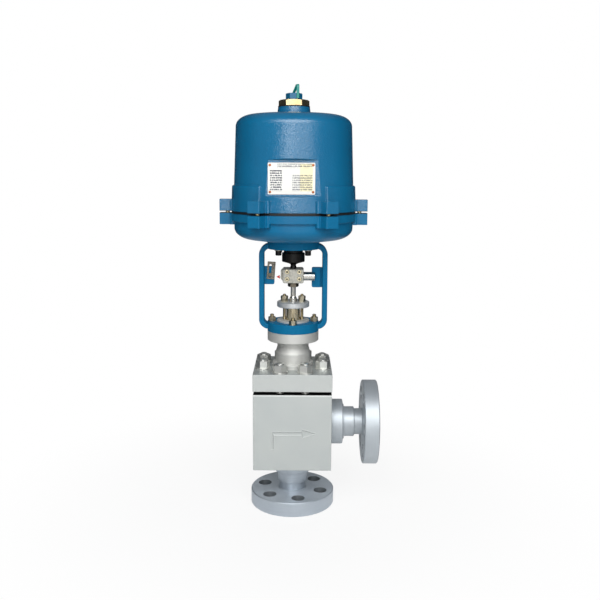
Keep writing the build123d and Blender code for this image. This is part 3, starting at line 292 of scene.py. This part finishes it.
def wear(names, finish):
    """Puts a finish on CAD pieces, given by their names with spaces between."""
    for name in names.split():
        piece = nodes[name]
        piece.data.materials.clear()
        piece.data.materials.append(finish.material)
    print(finish.material.name, "on", names)


print("grey 128 is", round(srgb(128, 128, 128)[0], 3), "of white's light")

# %% [markdown]
# The housing and the yoke are cast, then sprayed with a thick blue enamel. Such paint
# dries with a fine orange peel, so its glare is broad and slightly grainy. A small noise
# bump gives that, and a large faint noise keeps the big dome from looking like plastic.
# A painted shade darkens the enamel to near black within a few millimetres of the seam
# where the cover meets the base. The cover is the glossiest part, and the yoke, which
# was sprayed thinner, is nearly matt.

# %% Blue enamel
seam_low, seam_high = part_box("cover_gasket")
seam_middle = (seam_low.z + seam_high.z) / 2


def blue_enamel(name, pieces, gloss, roughness, peel_depth):
    """Sprayed enamel with orange peel, lighter worn edges and a painted shade at the housing's
    seam.
    """
    enamel = Finish(name, Specular_IOR_Level=gloss)
    enamel.set("Base Color", enamel.blend(
        enamel.noise(9, 3), srgb(2, 93, 135), srgb(6, 110, 153)))
    enamel.coat(enamel.edges(1 * MM) * 0.2, srgb(70, 150, 186))
    # Painted shade: the enamel goes near black within about 3 mm of the seam.
    from_seam = abs(enamel.axes()[2] - seam_middle)
    enamel.coat(enamel.ramp(from_seam, 3.2 * MM, 2 * MM) * 0.9, srgb(8, 22, 32))
    peel = enamel.noise(480, 3, 0.6)
    enamel.set("Roughness", roughness + peel * 0.1)
    enamel.relief(peel + enamel.noise(210, 2), peel_depth, 0.6, edge=1.2 * MM)
    wear(pieces, enamel)


blue_enamel("cover_enamel", "actuator_cover", gloss=0.85, roughness=0.18, peel_depth=0.7 * MM)
blue_enamel("base_enamel", "actuator_base", gloss=0.3, roughness=0.32, peel_depth=0.5 * MM)
blue_enamel("yoke_enamel", "yoke", gloss=0.12, roughness=0.42, peel_depth=0.3 * MM)

# %% [markdown]
# The valve block and the bonnet plate are painted a flat light grey. Brushed paint is
# never quite even: broad patches vary a little in tone. The sharp edges are lighter,
# partly because the paint is thin there and partly as a painted highlight, and on the
# block a painted highlight lightens the last 2.8 mm below its top. The faces inside the
# joint are painted near black, as painted shade for the narrow gap. A mask by height
# alone parts the two, so the colour needs no cut in the CAD mesh. It starts a hair's
# breadth off the face, so that rounding can't make the face patchy. Top faces get more
# metal, only so that they mirror the nuts that stand on them and come out darker: a
# painted shade.

# %% Grey paint
block_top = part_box("valve_body")[1].z
plate_foot = block_top + 6.2 * MM
hair = 0.1 * MM


def grey_paint(name, dark, light, joint, facing, lip_highlight=0.0):
    """Paint that ends at the joint's height, and is painted near black past it, as shade.
    Facing is 1 where that shaded face looks up.

    The last argument is a painted highlight: how much lighter the last 2.8 mm of paint
    below the joint are."""
    paint = Finish(name)
    # Painted shade: top faces get more metal, only so that they come out darker.
    paint.set("Metallic", 0.12 + paint.upward() * 0.5)
    paint.set("Base Color", paint.blend(paint.noise(14, 4), dark, light))
    inward = (paint.axes()[2] - joint) * facing
    # Edges are lighter partly from thin paint and partly as a painted highlight. The band just
    # below the joint is a painted highlight.
    worn_and_highlit_edges = paint.edges(0.9 * MM) * 0.6
    if lip_highlight:
        worn_and_highlit_edges = maths("MAXIMUM", worn_and_highlit_edges, (inward > -2.8 * MM) * lip_highlight)
    paint.coat(worn_and_highlit_edges, srgb(232, 235, 232))
    # Painted shade: the faces inside the narrow joint are painted near black.
    paint.coat(inward > 0, srgb(34, 32, 33))
    return paint


def paint_grain(paint, dents=()):
    """Brushed grain, with more heights in metres added on top of it."""
    grain = paint.noise(900, 3)
    paint.set("Roughness", 0.44 + grain * 0.14)
    height = grain * (0.08 * MM) + paint.noise(60, 2) * (0.16 * MM)
    for dent in dents:
        height = height + dent
    paint.relief(height, 1.0, 0.5, edge=0.8 * MM)


plate_paint = grey_paint(
    "plate_paint", srgb(181, 186, 185), srgb(197, 200, 197), plate_foot + hair, facing=-1)
paint_grain(plate_paint)
wear("bonnet", plate_paint)

# %% [markdown]
# The flow arrow is stamped in the front of the block: an arm that goes up from the
# inlet, then turns right to the outlet. Cutting it would change a CAD mesh, and a
# picture of it would blur close by, so it is a height that falls inside the line, as a
# bump. Each stroke is a box or a wedge, given by how far a point lies inside it, which
# makes the line's walls slope. The burr in the next step gives it a real edge. Its
# corners were measured in the photograph, in pixels: each pixel is a ray from the
# camera, and the corner lies where the ray meets the front face.

# %% Stamped flow arrow
FOCAL_PIXELS = 752.3
PHOTO_MIDDLE = 300
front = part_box("valve_body")[0].y
arm_left, arm_top, arm_bottom = 271.8, 432.2, 435.6
riser_right, riser_foot = 274.0, 449.6
head_back, head_tip = 302.0, 316.0
head_top, head_middle, head_bottom = 429.8, 434.0, 438.2


def photo_to_front(px, py):
    """The point on the block's front face that shows at a pixel of the 600 pixel frame."""
    sight = Vector(((px - PHOTO_MIDDLE) / FOCAL_PIXELS, (PHOTO_MIDDLE - py) / FOCAL_PIXELS, -1))
    ray = camera.matrix_world.to_3x3() @ sight
    spot = eye + ray * ((front - eye.y) / ray.y)
    return spot.x, spot.z


# Painted highlight: the block's paint is lighter in the last 2.8 mm below its top.
block_paint = grey_paint(
    "block_paint", srgb(177, 183, 183), srgb(193, 197, 194), block_top - hair, facing=1, lip_highlight=0.6)
x, y, z = block_paint.axes()


def inside_box(left, top, right, bottom):
    """How far a point lies inside a box that is given by two pixels, in metres."""
    (x_low, z_high), (x_high, z_low) = photo_to_front(left, top), photo_to_front(right, bottom)
    wide = (x_high - x_low) / 2 - abs(x - (x_low + x_high) / 2)
    tall = (z_high - z_low) / 2 - abs(z - (z_low + z_high) / 2)
    return maths("MINIMUM", wide, tall)


arm = inside_box(arm_left, arm_top, head_back + 0.5, arm_bottom)
riser = inside_box(arm_left, arm_top, riser_right, riser_foot)
tail_x, tail_z = photo_to_front(head_back, head_middle)
tip_x = photo_to_front(head_tip, head_middle)[0]
spread = photo_to_front(head_back, head_top)[1] - tail_z
behind_tip = (tip_x - x) * (spread / (tip_x - tail_x)) - abs(z - tail_z)
wedge = maths("MINIMUM", behind_tip, x - tail_x)
strokes = maths("MAXIMUM", maths("MAXIMUM", arm, riser), wedge)
groove = block_paint.ramp(strokes, 0, 1.7 * MM, 0, -2.6 * MM)
paint_grain(block_paint, [groove * (y < front + 5 * MM)])
wear("valve_body", block_paint)
print("arrow from", round(tail_x, 4), "to", round(tip_x, 4))

# %% [markdown]
# A stamp also pushes a little metal up around its line. That burr is real geometry: it
# rises gently from outside to a crest 0.4 mm proud of the face, and drops steeply into
# the line, so its inner wall shades just as the groove's does. Each corner's place is
# found by shifting the two edges that meet there and crossing them. New geometry is
# often rings of points with walls between them, so `walls` serves the threads and the
# pointer too.

# %% Burr around the arrow
def walls(rings, sides):
    """Faces with four corners between each ring of points and the next."""
    faces = []
    for ring in range(rings - 1):
        for k in range(sides):
            a, b = ring * sides + k, ring * sides + (k + 1) % sides
            faces.append((a, b, b + sides, a + sides))
    return faces


def mesh_of(name, points, faces):
    """A mesh from its points and from the faces that join them."""
    mesh = bpy.data.meshes.new(name)
    mesh.from_pydata(points, [], faces)
    return mesh


def new_piece(name, mesh, finish, beside):
    """A piece that rides on the same body as the CAD piece beside it."""
    mesh.materials.append(finish.material)
    piece = shown(name, mesh)
    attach(piece, nodes[beside]["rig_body"])
    print(name, "with", len(mesh.polygons), "faces")
    return piece


def shifted(corners, distance):
    """The same closed outline, moved outwards by that distance in metres."""
    moved = []
    for k, corner in enumerate(corners):
        before = (corner - corners[k - 1]).normalized()
        after = (corners[(k + 1) % len(corners)] - corner).normalized()
        side = Vector((-before.y, before.x)) + Vector((-after.y, after.x))
        moved.append(corner + side * (distance / (1 + before.dot(after))))
    return moved


outline = [Vector(photo_to_front(px, py)) for px, py in (
    (arm_left, riser_foot), (arm_left, arm_top), (head_back, arm_top), (head_back, head_top),
    (head_tip, head_middle), (head_back, head_bottom), (head_back, arm_bottom),
    (riser_right, arm_bottom), (riser_right, riser_foot))]
outer_foot = (2 * MM, 0.05 * MM)
crest = (0.2 * MM, -0.4 * MM)
inner_foot = (-0.3 * MM, 0.05 * MM)
loops = (outer_foot, crest, inner_foot)
points = [(spot.x, front + height, spot.y)
          for distance, height in loops for spot in shifted(outline, distance)]
burr = mesh_of("flow_arrow_burr", points, walls(len(loops), len(outline)))
new_piece("flow_arrow_burr", burr, block_paint, "valve_body")

# %% [markdown]
# The round parts are turned on a lathe, which leaves very fine rings. Rings about the
# upright axis are rings of equal height on a cylinder, so a noise that is stretched flat
# along X and Y makes them. On the outlet, whose axis is X, the noise is stretched along
# Y and Z instead. The walls of the bolt holes get a painted shade, a little darker than
# the rest: the turn about the flange's axis is folded six times, to find the nearest
# hole. On the inlet, flat tops get less metal than the rims, only so that the flange's
# top, which lies in the block's shadow, comes out lighter: a painted light.

# %% Turned silver
def turned_silver(name, dark, light, along, roughness, metallic, pitch=1500.0):
    """Metal with rings along one axis: 0 for X and 2 for Z."""
    metal = Finish(name, Metallic=metallic)
    stretch = [15.0, 15.0, 15.0]
    stretch[along] = pitch
    rings = metal.noise(1.0, 3, stretch=stretch)
    stain = metal.noise(35, 3)
    metal.set("Base Color", metal.blend(rings * 0.6 + stain * 0.4, dark, light))
    metal.set("Roughness", roughness - 0.06 + rings * 0.14)
    metal.relief(rings, 0.05 * MM, 0.5, edge=0.6 * MM)
    return metal


HOLES = 6
HOLE_CIRCLE = 59 * MM
HOLE_REACH = 13.15 * MM


def shaded_hole_walls(metal, across, up, first):
    """Bolt holes whose walls get a painted shade. Across and up lie in the flange's face."""
    step = math.radians(360 / HOLES)
    turn = (maths("ARCTAN2", up, across) - math.radians(first)) % step
    nearest = step / 2 - abs(turn - step / 2)
    out = (across * across + up * up) ** 0.5
    along_hole_line = out * maths("COSINE", nearest)
    from_hole = out * out + HOLE_CIRCLE ** 2 - along_hole_line * (2 * HOLE_CIRCLE)
    # Painted shade: the hole walls are a little darker than the flange.
    metal.coat(from_hole < HOLE_REACH ** 2, srgb(165, 171, 176))


bonnet_silver = turned_silver("bonnet_silver", srgb(198, 199, 196), srgb(232, 232, 228),
                              along=2, roughness=0.66, metallic=0.8, pitch=900.0)
wear("bonnet_neck", bonnet_silver)

flange_silver = turned_silver("flange_silver", srgb(172, 182, 193), srgb(210, 218, 225),
                              along=2, roughness=0.4, metallic=0.75)
# Painted light: faces that look up get less metal, so the flange's top, in the block's shadow,
# comes out lighter.
flange_silver.set("Metallic", 0.75 - flange_silver.upward() * 0.45)
x, y, _ = flange_silver.axes()
shaded_hole_walls(flange_silver, x, y, first=41.5)
wear("inlet_flange inlet_neck", flange_silver)

side_silver = turned_silver("side_silver", srgb(172, 180, 187), srgb(206, 212, 216),
                            along=0, roughness=0.48, metallic=0.62)
_, y, z = side_silver.axes()
low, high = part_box("outlet_flange")
shaded_hole_walls(side_silver, z - (low.z + high.z) / 2, y, first=30)
wear("outlet_flange outlet_neck", side_silver)

# %% [markdown]
# Fasteners are plated steel. Plate is bright but never a mirror, and it dulls where
# hands and spanners touch, so its colour and roughness vary in small patches. Zinc on
# the big nuts is clean, and its patches are wide. The small nuts and studs are brownish
# with dried oil, and a higher contrast makes them look handled.

# %% Plated fasteners
def plated(name, dark, light, pieces, roughness=0.28, patch=140, metallic=1.0, contrast=1.0,
           grain=0.02 * MM):
    """Metal with patches. Patch is how fine they are, and grain is the relief's depth."""
    metal = Finish(name, Metallic=metallic)
    patches = 0.5 + (metal.noise(patch, 3) - 0.5) * contrast
    metal.set("Base Color", metal.blend(patches, srgb(*dark), srgb(*light)))
    metal.set("Roughness", roughness - 0.06 + metal.noise(patch, 2) * 0.14)
    metal.relief(metal.noise(700, 2), grain, 0.25, edge=0.4 * MM)
    wear(pieces, metal)
    return metal


zinc = plated("zinc_plate", (206, 207, 203), (238, 238, 233), "bonnet_nuts bonnet_washers",
              roughness=0.34, patch=50, metallic=0.86, grain=0.003 * MM)
plated("nut_steel", (140, 133, 114), (200, 193, 172), "gland_nuts yoke_nuts yoke_washers",
       roughness=0.34, patch=90, contrast=1.4)
plated("dull_steel", (86, 80, 70), (142, 133, 118), "stem_locknut scale_screw",
       roughness=0.46, patch=150, contrast=1.4)
stud_steel = plated("stud_steel", (150, 136, 104), (204, 190, 158),
                    "bonnet_studs gland_studs yoke_studs",
                    roughness=0.32, patch=160, contrast=1.6)
plated("yellow_zinc", (188, 170, 120), (232, 218, 176), "cover_screws", roughness=0.3)

# %% [markdown]
# The stem is polished stainless bar, because it slides through the packing, and almost
# any relief would spoil its long clean highlights. The gland is painted, the clamp is
# milled and worn, and the nut on top of the housing is brass. The parts inside are
# plain ground steel and bronze.

# %% Working metals
stainless = plated("stainless_bar", (196, 194, 188), (214, 212, 206),
                   "valve_stem guide_rod plug seat_ring",
                   roughness=0.2, patch=20, grain=0.001 * MM)
plated("follower_metal", (190, 174, 138), (224, 214, 190), "gland_follower",
       roughness=0.26, patch=60)
plated("gland_silver", (186, 190, 193), (216, 218, 218), "gland_flange",
       roughness=0.4, patch=90, metallic=0.6)
plated("milled_clamp", (138, 138, 130), (208, 205, 194), "clamp_front clamp_rear",
       roughness=0.42, patch=200, metallic=0.45, contrast=1.8)
plated("turned_brass", (178, 156, 108), (218, 200, 158), "brass_nut", roughness=0.34, patch=90)
plated("bearing_bronze", (150, 112, 62), (190, 150, 92), "drive_nut shaft_bush stem_bush",
       roughness=0.34)
plated("copper_rivet", (158, 80, 44), (208, 128, 84), "nameplate_rivets", roughness=0.3)
plated("ground_steel", (150, 152, 154), (196, 198, 200),
       "cage packing_base_ring thrust_bearings reduction_gear reduction_post "
       "motor_pinion gear_plate plate_posts hand_shaft", roughness=0.3)
plated("black_oxide", (16, 16, 17), (34, 33, 32), "output_shaft yoke_top_bolts",
       roughness=0.38, patch=200, metallic=0.6)

# %% [markdown]
# A hexagon socket is a narrow well, and it shows almost black. The sockets of the four
# clamp screws lie at the same distance left and right of the middle, and above and
# below it, so one distance from a screw's axis finds all four. A coat of near black in
# that circle reads as a deep hole at this size.

# %% Clamp screw sockets
socket_screws = plated("socket_screws", (216, 202, 162), (246, 238, 212), "clamp_screws",
                       roughness=0.3)
low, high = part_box("clamp_screws")
head_radius, socket_radius = 4.3 * MM, 2.1 * MM
x, y, z = socket_screws.axes()
across = abs(x - (low.x + high.x) / 2) - ((high.x - low.x) / 2 - head_radius)
up = abs(z - (low.z + high.z) / 2) - ((high.z - low.z) / 2 - head_radius)
from_axis = (across * across + up * up) ** 0.5
behind_front = y > low.y + 0.2 * MM
socket_screws.coat((from_axis < socket_radius) * behind_front, srgb(20, 18, 14))
print("sockets", round(2 * socket_radius / MM, 1), "mm wide")

# %% [markdown]
# Rubber, graphite and moulded plastic are not metals, so they get a plain dark or
# coloured base with a soft grain. The pointer's red is a brushed-on paint and is made
# the same way.

# %% Rubber and plastic
def moulded(name, dark, light, pieces, roughness):
    """A soft, even material with fine specks."""
    stuff = Finish(name)
    speck = stuff.noise(400, 3)
    stuff.set("Base Color", stuff.blend(speck, srgb(*dark), srgb(*light)))
    stuff.set("Roughness", roughness - 0.06 + speck * 0.14)
    stuff.relief(speck, 0.04 * MM, 0.4)
    wear(pieces, stuff)
    return stuff


moulded("seal_rubber", (14, 13, 13), (30, 28, 27), "cover_gasket port_washer", 0.62)
moulded("graphite", (42, 42, 43), (66, 66, 67), "bonnet_gasket packing_rings", 0.55)
moulded("white_seal", (214, 212, 204), (232, 230, 224), "plug_seal_ring", 0.4)
moulded("blue_plastic", (4, 88, 130), (12, 108, 150), "port_plug", 0.42)
moulded("teal_plastic", (10, 116, 110), (40, 158, 146), "seal_strap", 0.34)
moulded("black_plastic", (20, 20, 22), (34, 34, 36), "cable_glands cable_gland_caps motor", 0.45)
moulded("board_green", (16, 70, 40), (26, 92, 52), "control_board", 0.4)
red_paint = moulded("red_paint", (216, 20, 4), (236, 38, 8), "pointer", 0.5)

# %% [markdown]
# The travel scale is a small steel plate with ruled marks. The marks come from the
# height alone: the rest of a division by its step is small at each mark, and every
# fifth mark is longer. They are a coat of ink, because etched lines of a third of a
# millimetre would be finer than a pixel as geometry.

# %% Travel scale
scale_metal = Finish("scale_plate", Metallic=0.6)
low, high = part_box("travel_scale")
x, _, z = scale_metal.axes()
step, first_mark, margin = 1 * MM, 4 * MM, 1.2 * MM
short_mark, long_mark = 3 * MM, 4.5 * MM
from_foot = z - (low.z + first_mark)
from_margin = high.x - margin - x
on_mark = abs(from_foot % step - step / 2) > step * 0.36
on_fifth = abs(from_foot % (5 * step) - 2.5 * step) > step * 2.36
marks = on_mark * (from_margin < short_mark) + on_fifth * (from_margin < long_mark)
smudge = 0.5 + (scale_metal.noise(420, 3) - 0.5) * 2.4
scale_metal.set("Base Color", scale_metal.blend(smudge, srgb(80, 76, 68), srgb(152, 145, 130)))
scale_metal.coat(marks * (from_foot > 0) > 0.5, srgb(28, 26, 25))
scale_metal.set("Roughness", 0.4 + smudge * 0.16)
scale_metal.relief(smudge, 0.04 * MM, 0.5)
wear("travel_scale", scale_metal)

# %% [markdown]
# The nameplate is a printed metal plate. Its print is left as a blank form: two head
# lines and rows of short dashes in two columns, with a pale yellow field at the right.
# One noise, stretched so that it changes along a row and from row to row, breaks each
# row into dashes. Places on the plate are shares of its width and height, so the form
# would fit a plate of another size.

# %% Nameplate
name_metal = Finish("nameplate_print", Metallic=0.1)
low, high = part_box("nameplate")
x, _, z = name_metal.axes()
across = (x - low.x) / (high.x - low.x)
down = (high.z - z) / (high.z - low.z)
rows, row_share = 13.6, 0.31


def area(left, right, top, bottom):
    """1 inside a box on the plate, given by shares of its width and height."""
    return (across > left) * (across < right) * (down > top) * (down < bottom)


row = abs((down * rows) % 1 - 0.5) < row_share
dashes = name_metal.noise(1.0, 1, stretch=(560.0, 1.0, rows / (high.z - low.z))) > 0.43
head_lines = area(0.2, 0.93, 0.03, 0.17)
left_column = area(0.045, 0.3, 0.22, 0.9)
right_column = area(0.52, 0.94, 0.37, 0.9)
ink = row * dashes * (left_column * 0.95 + right_column * 0.7 + head_lines * 0.7)
field = area(0.68, 0.95, 0.03, 0.9)
name_metal.set("Base Color", name_metal.blend(field, srgb(227, 226, 220), srgb(234, 226, 188)))
name_metal.coat(ink, srgb(40, 44, 66))
name_metal.set("Roughness", 0.34 + name_metal.noise(200, 2) * 0.12)
wear("nameplate", name_metal)

# %% [markdown]
# Lathe-cut threads catch the light in fine bright lines. A thread is a V profile that
# climbs one pitch per turn, so a grid of points around and along the bar is pushed in
# and out by how far each point is from the crest. A bump would leave the bar's outline
# smooth, and a screw modifier would need its own clean ends, so the grid is simplest.
# The threaded bars are new pieces, and they replace the plain CAD bars.

# %% Threaded bars
AROUND = 28
STEPS = 8


def thread_depth(height, turn_share, thread_from, thread_to, pitch, depth):
    """How far the V cuts in at a height, fading out over a pitch at both ends."""
    phase = (height / pitch - turn_share) % 1
    fade = min(1, (height - thread_from) / pitch, (thread_to - height) / pitch)
    return depth * (1 - abs(2 * phase - 1)) * max(0, fade)


def threaded_bar(radius, low, high, thread_from, pitch, tip):
    """A bar along Z, in millimetres: plain below, threaded above, with a coned tip."""
    depth, foot = pitch * 0.54, 0.6
    thread_to = high - tip
    cuts = int((thread_to - thread_from) / pitch * STEPS)
    rings = [(low, radius - foot, False), (low + foot, radius, False), (thread_from, radius, False)]
    rings += [(thread_from + pitch * k / STEPS, radius, True) for k in range(1, cuts)]
    rings += [(thread_to, radius - depth * 0.5, False), (high, radius - depth - tip * 1.4, False)]
    points = []
    for height, bar_radius, cut in rings:
        for k in range(AROUND):
            turn = 2 * math.pi * k / AROUND
            here = bar_radius
            if cut:
                here -= thread_depth(height, k / AROUND, thread_from, thread_to, pitch, depth)
            points.append((here * math.cos(turn), here * math.sin(turn), height))
    top = (len(rings) - 1) * AROUND
    ends = [tuple(reversed(range(AROUND))), tuple(range(top, top + AROUND))]
    return points, walls(len(rings), AROUND) + ends


print("a thread has", AROUND, "points around and", STEPS, "rings to a turn")

# %% [markdown]
# Each set of studs is one CAD piece with several bars, so its replacement is one mesh
# too: the same bar at every place of the pattern. Each stud keeps the CAD bar's ends.

# %% Studs in place
def around_axis(count, radius, first):
    """Places on a circle about the valve's axis, in millimetres, from an angle in degrees."""
    turns = [math.radians(first + k * 360 / count) for k in range(count)]
    return [(radius * math.cos(turn), radius * math.sin(turn)) for turn in turns]


def replace_bars(node, places, radius, thread_from, pitch, finish, tip):
    """Threaded bars in place of a CAD piece's plain ones, with sizes in millimetres."""
    low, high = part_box(node)
    bar_points, bar_faces = threaded_bar(radius, low.z / MM, high.z / MM, thread_from, pitch, tip)
    points, faces = [], []
    for x, y in places:
        start = len(points)
        points += [Vector((x + px, y + py, pz)) * MM for px, py, pz in bar_points]
        faces += [tuple(start + k for k in face) for face in bar_faces]
    mesh = mesh_of(node + "_cut", points, faces)
    for polygon in mesh.polygons:
        polygon.use_smooth = len(polygon.vertices) == 4
    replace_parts(new_piece(node + "_threaded", mesh, finish, node), node)


replace_bars("bonnet_studs", around_axis(8, 63.0, first=22.5), radius=8.0,
             thread_from=240.0, pitch=2.0, finish=zinc, tip=1.6)
replace_bars("gland_studs", around_axis(2, 17.1, first=180.0), radius=3.2,
             thread_from=372.0, pitch=1.0, finish=stud_steel, tip=0.6)
replace_bars("yoke_studs", around_axis(4, 41.3, first=0.0), radius=4.0,
             thread_from=368.0, pitch=1.25, finish=stud_steel, tip=0.8)

# %% [markdown]
# The pointer is a small red arrow head on a thin steel stub, which points at the travel
# scale. The head is a flat wedge with a broken front edge, so it is drawn as one
# triangle, drawn again a little smaller in front and behind, and joined. The stub is a
# turned pin, drawn as three rings.

# %% Pointer
low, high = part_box("pointer")
middle_y, middle_z = (low.y + high.y) / 2, (low.z + high.z) / 2
head_length, half_height = 6.4 * MM, 3.6 * MM
back = low.x + head_length
corners = [(low.x, middle_z), (back, middle_z + half_height), (back, middle_z - half_height)]
centre = low.x + head_length * 0.62
layers = ((1.2, 0.9), (0.8, 1), (-0.8, 1), (-1.2, 0.9))
points = [(centre + (px - centre) * size, middle_y + depth * MM, middle_z + (pz - middle_z) * size)
          for depth, size in layers for px, pz in corners]
head = mesh_of("pointer_head", points, [(0, 2, 1), (9, 10, 11)] + walls(len(layers), 3))
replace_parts(new_piece("pointer_head", head, red_paint, "pointer"), "pointer")

sides, pin_radius, pin_tip = 16, 1.2 * MM, 0.4 * MM
rings = [(low.x + head_length * 0.8, pin_radius), (high.x - pin_tip, pin_radius),
         (high.x, pin_radius - pin_tip)]
turns = [2 * math.pi * k / sides for k in range(sides)]
points = [(px, middle_y + radius * math.cos(turn), middle_z + radius * math.sin(turn))
          for px, radius in rings for turn in turns]
ends = [tuple(reversed(range(sides))), tuple(range(2 * sides, 3 * sides))]
stub = mesh_of("pointer_stub", points, ends + walls(len(rings), sides))
new_piece("pointer_stub", stub, stainless, "pointer")
print("pointer head", round(head_length / MM, 1), "mm long")

# %% [markdown]
# A pale floor catches the shadow and closes the picture. Lighting it until it looks
# white would also flood the valve, so it glows to the camera alone: nearly white, and a
# little more with every step away from the valve, so it runs into the white background
# with no edge. Shiny metal sees a fifth of that glow, which keeps its lower edges dark.

# %% Floor
def staged(name, mesh, finish):
    """Something that stands round the valve and isn't part of it."""
    mesh.materials.append(finish.material)
    thing = shown(name, mesh)
    return thing


def light_path(graph, ray):
    """1 for one kind of ray, such as those that come straight from the camera."""
    return graph.node("ShaderNodeLightPath", output=f"Is {ray} Ray")


ground_white = Finish("ground_white")
away = ground_white.node("ShaderNodeVectorMath", {"operation": "LENGTH"},
                         {0: ground_white.place()}, "Value")
share = ground_white.ramp(away, 0.08, 0.7, 0.86, 1.0, curve="SMOOTHSTEP")
straight = maths("MAXIMUM", light_path(ground_white, "Camera"),
                 light_path(ground_white, "Transmission"))
seen = maths("MAXIMUM", straight, light_path(ground_white, "Glossy") * 0.2)
matt = ground_white.node("ShaderNodeBsdfDiffuse", inputs={"Color": (0.9, 0.9, 0.9, 1)})
glow = ground_white.node("ShaderNodeEmission", inputs={"Color": (1, 1, 1, 1)})
ground_white.tree.nodes.remove(ground_white.shader)
ground_white.show(ground_white.node(
    "ShaderNodeMixShader", inputs={0: seen * share, 1: matt, 2: glow}))

reach = 9
square = [(-reach, -reach, 0), (reach, -reach, 0), (reach, reach, 0), (-reach, reach, 0)]
staged("floor", mesh_of("floor", square, [(0, 1, 2, 3)]), ground_white)
print("floor", 2 * reach, "m wide")

# %% [markdown]
# Large soft boxes light the valve, because a small lamp makes hard white dots on round
# metal. A narrow box stands in front, a little left, and gives the tall soft glare on
# the housing. A wide one fills in from the right, and a long one above lights the
# shoulder of the dome. The one behind is for views of the back. It is hidden from shiny
# metal, where it would draw bright rims that the picture doesn't show.

# %% Lamps
def lamp(name, place, aim, size, power):
    """A soft box of that width and height in metres, aimed at a point."""
    light = bpy.data.lights.new(name, "AREA")
    light.shape = "RECTANGLE"
    light.size, light.size_y = size
    light.energy = power
    piece = shown(name, light)
    turn = (Vector(aim) - Vector(place)).to_track_quat("-Z", "Y").to_matrix().to_4x4()
    piece.matrix_world = Matrix.Translation(place) @ turn
    print(name, power, "W")
    return piece


valve_middle, housing = (0, 0, 0.45), (0, 0, 0.6)
lamp("front_box", (-0.36, -2.4, 1.25), valve_middle, (0.3, 1.6), 15)
lamp("fill_box", (0.80, -2.3, 1.25), valve_middle, (1.5, 1.6), 15)
lamp("top_box", (-0.02, -1.75, 2.0), housing, (2.6, 0.7), 36)
lamp("back_box", (0.2, 2.4, 1.6), valve_middle, (1.8, 1.4), 22).visible_glossy = False

# %% [markdown]
# Round metal shows whatever stands beside it, and in a white room its sides turn white.
# So a photographer stands dark cloths, called flags, left and right of the object, just
# outside the picture, and lays them on the table too. Here they are seen in reflections
# only: the camera looks through them, and they take no light and cast no shadow.

# %% Dark flags
flag_cloth = Finish("flag_cloth", Roughness=0.9)
flag_cloth.set("Base Color", flag_cloth.blend(
    flag_cloth.noise(40), (0.02, 0.03, 0.04, 1), (0.03, 0.04, 0.055, 1)))
foot, top = 2 * MM, 1.9
for side in (-1, 1):
    near, far = (1.25 * side, -0.15), (0.5 * side, 1.75)
    table_inner, table_outer = (0.35 * side, -1.3), (1.25 * side, -1.3)
    upright = [(*near, foot), (*far, foot), (*far, top), (*near, top)]
    lying = [(*table_inner, foot), (*table_outer, foot), (*near, foot), (*far, foot)]
    cloth = mesh_of("dark_flag", upright + lying, [(0, 1, 2, 3), (4, 5, 6, 7)])
    flag = staged("dark_flag", cloth, flag_cloth)
    flag.visible_camera = flag.visible_diffuse = flag.visible_shadow = False
    print(flag.name, "from", near, "to", far)

# %% [markdown]
# The world is dim and a little blue, like a large room whose own lamps are off, so the
# soft boxes do the work. Only the camera sees it white, which makes the background of
# the picture, and shiny metal sees a small share of that white.

# %% World
world = bpy.data.worlds.new("studio")
bpy.context.scene.world = world
world.use_nodes = True
sky = Graph(world.node_tree)
dim = sky.node("ShaderNodeBackground", inputs={"Color": (0.86, 0.9, 0.94, 1), "Strength": 0.13})
white = sky.node("ShaderNodeBackground", inputs={"Color": (1, 1, 1, 1), "Strength": 1})
straight = maths("MAXIMUM", light_path(sky, "Camera"), light_path(sky, "Transmission"))
seen = maths("MAXIMUM", straight, light_path(sky, "Glossy") * 0.06)
sky.show(sky.node("ShaderNodeMixShader", inputs={0: seen, 1: dim, 2: white}))
print("world", world.name, "with", len(world.node_tree.nodes), "nodes")

# %% [markdown]
# The dressed model must stay within the CAD model's box.
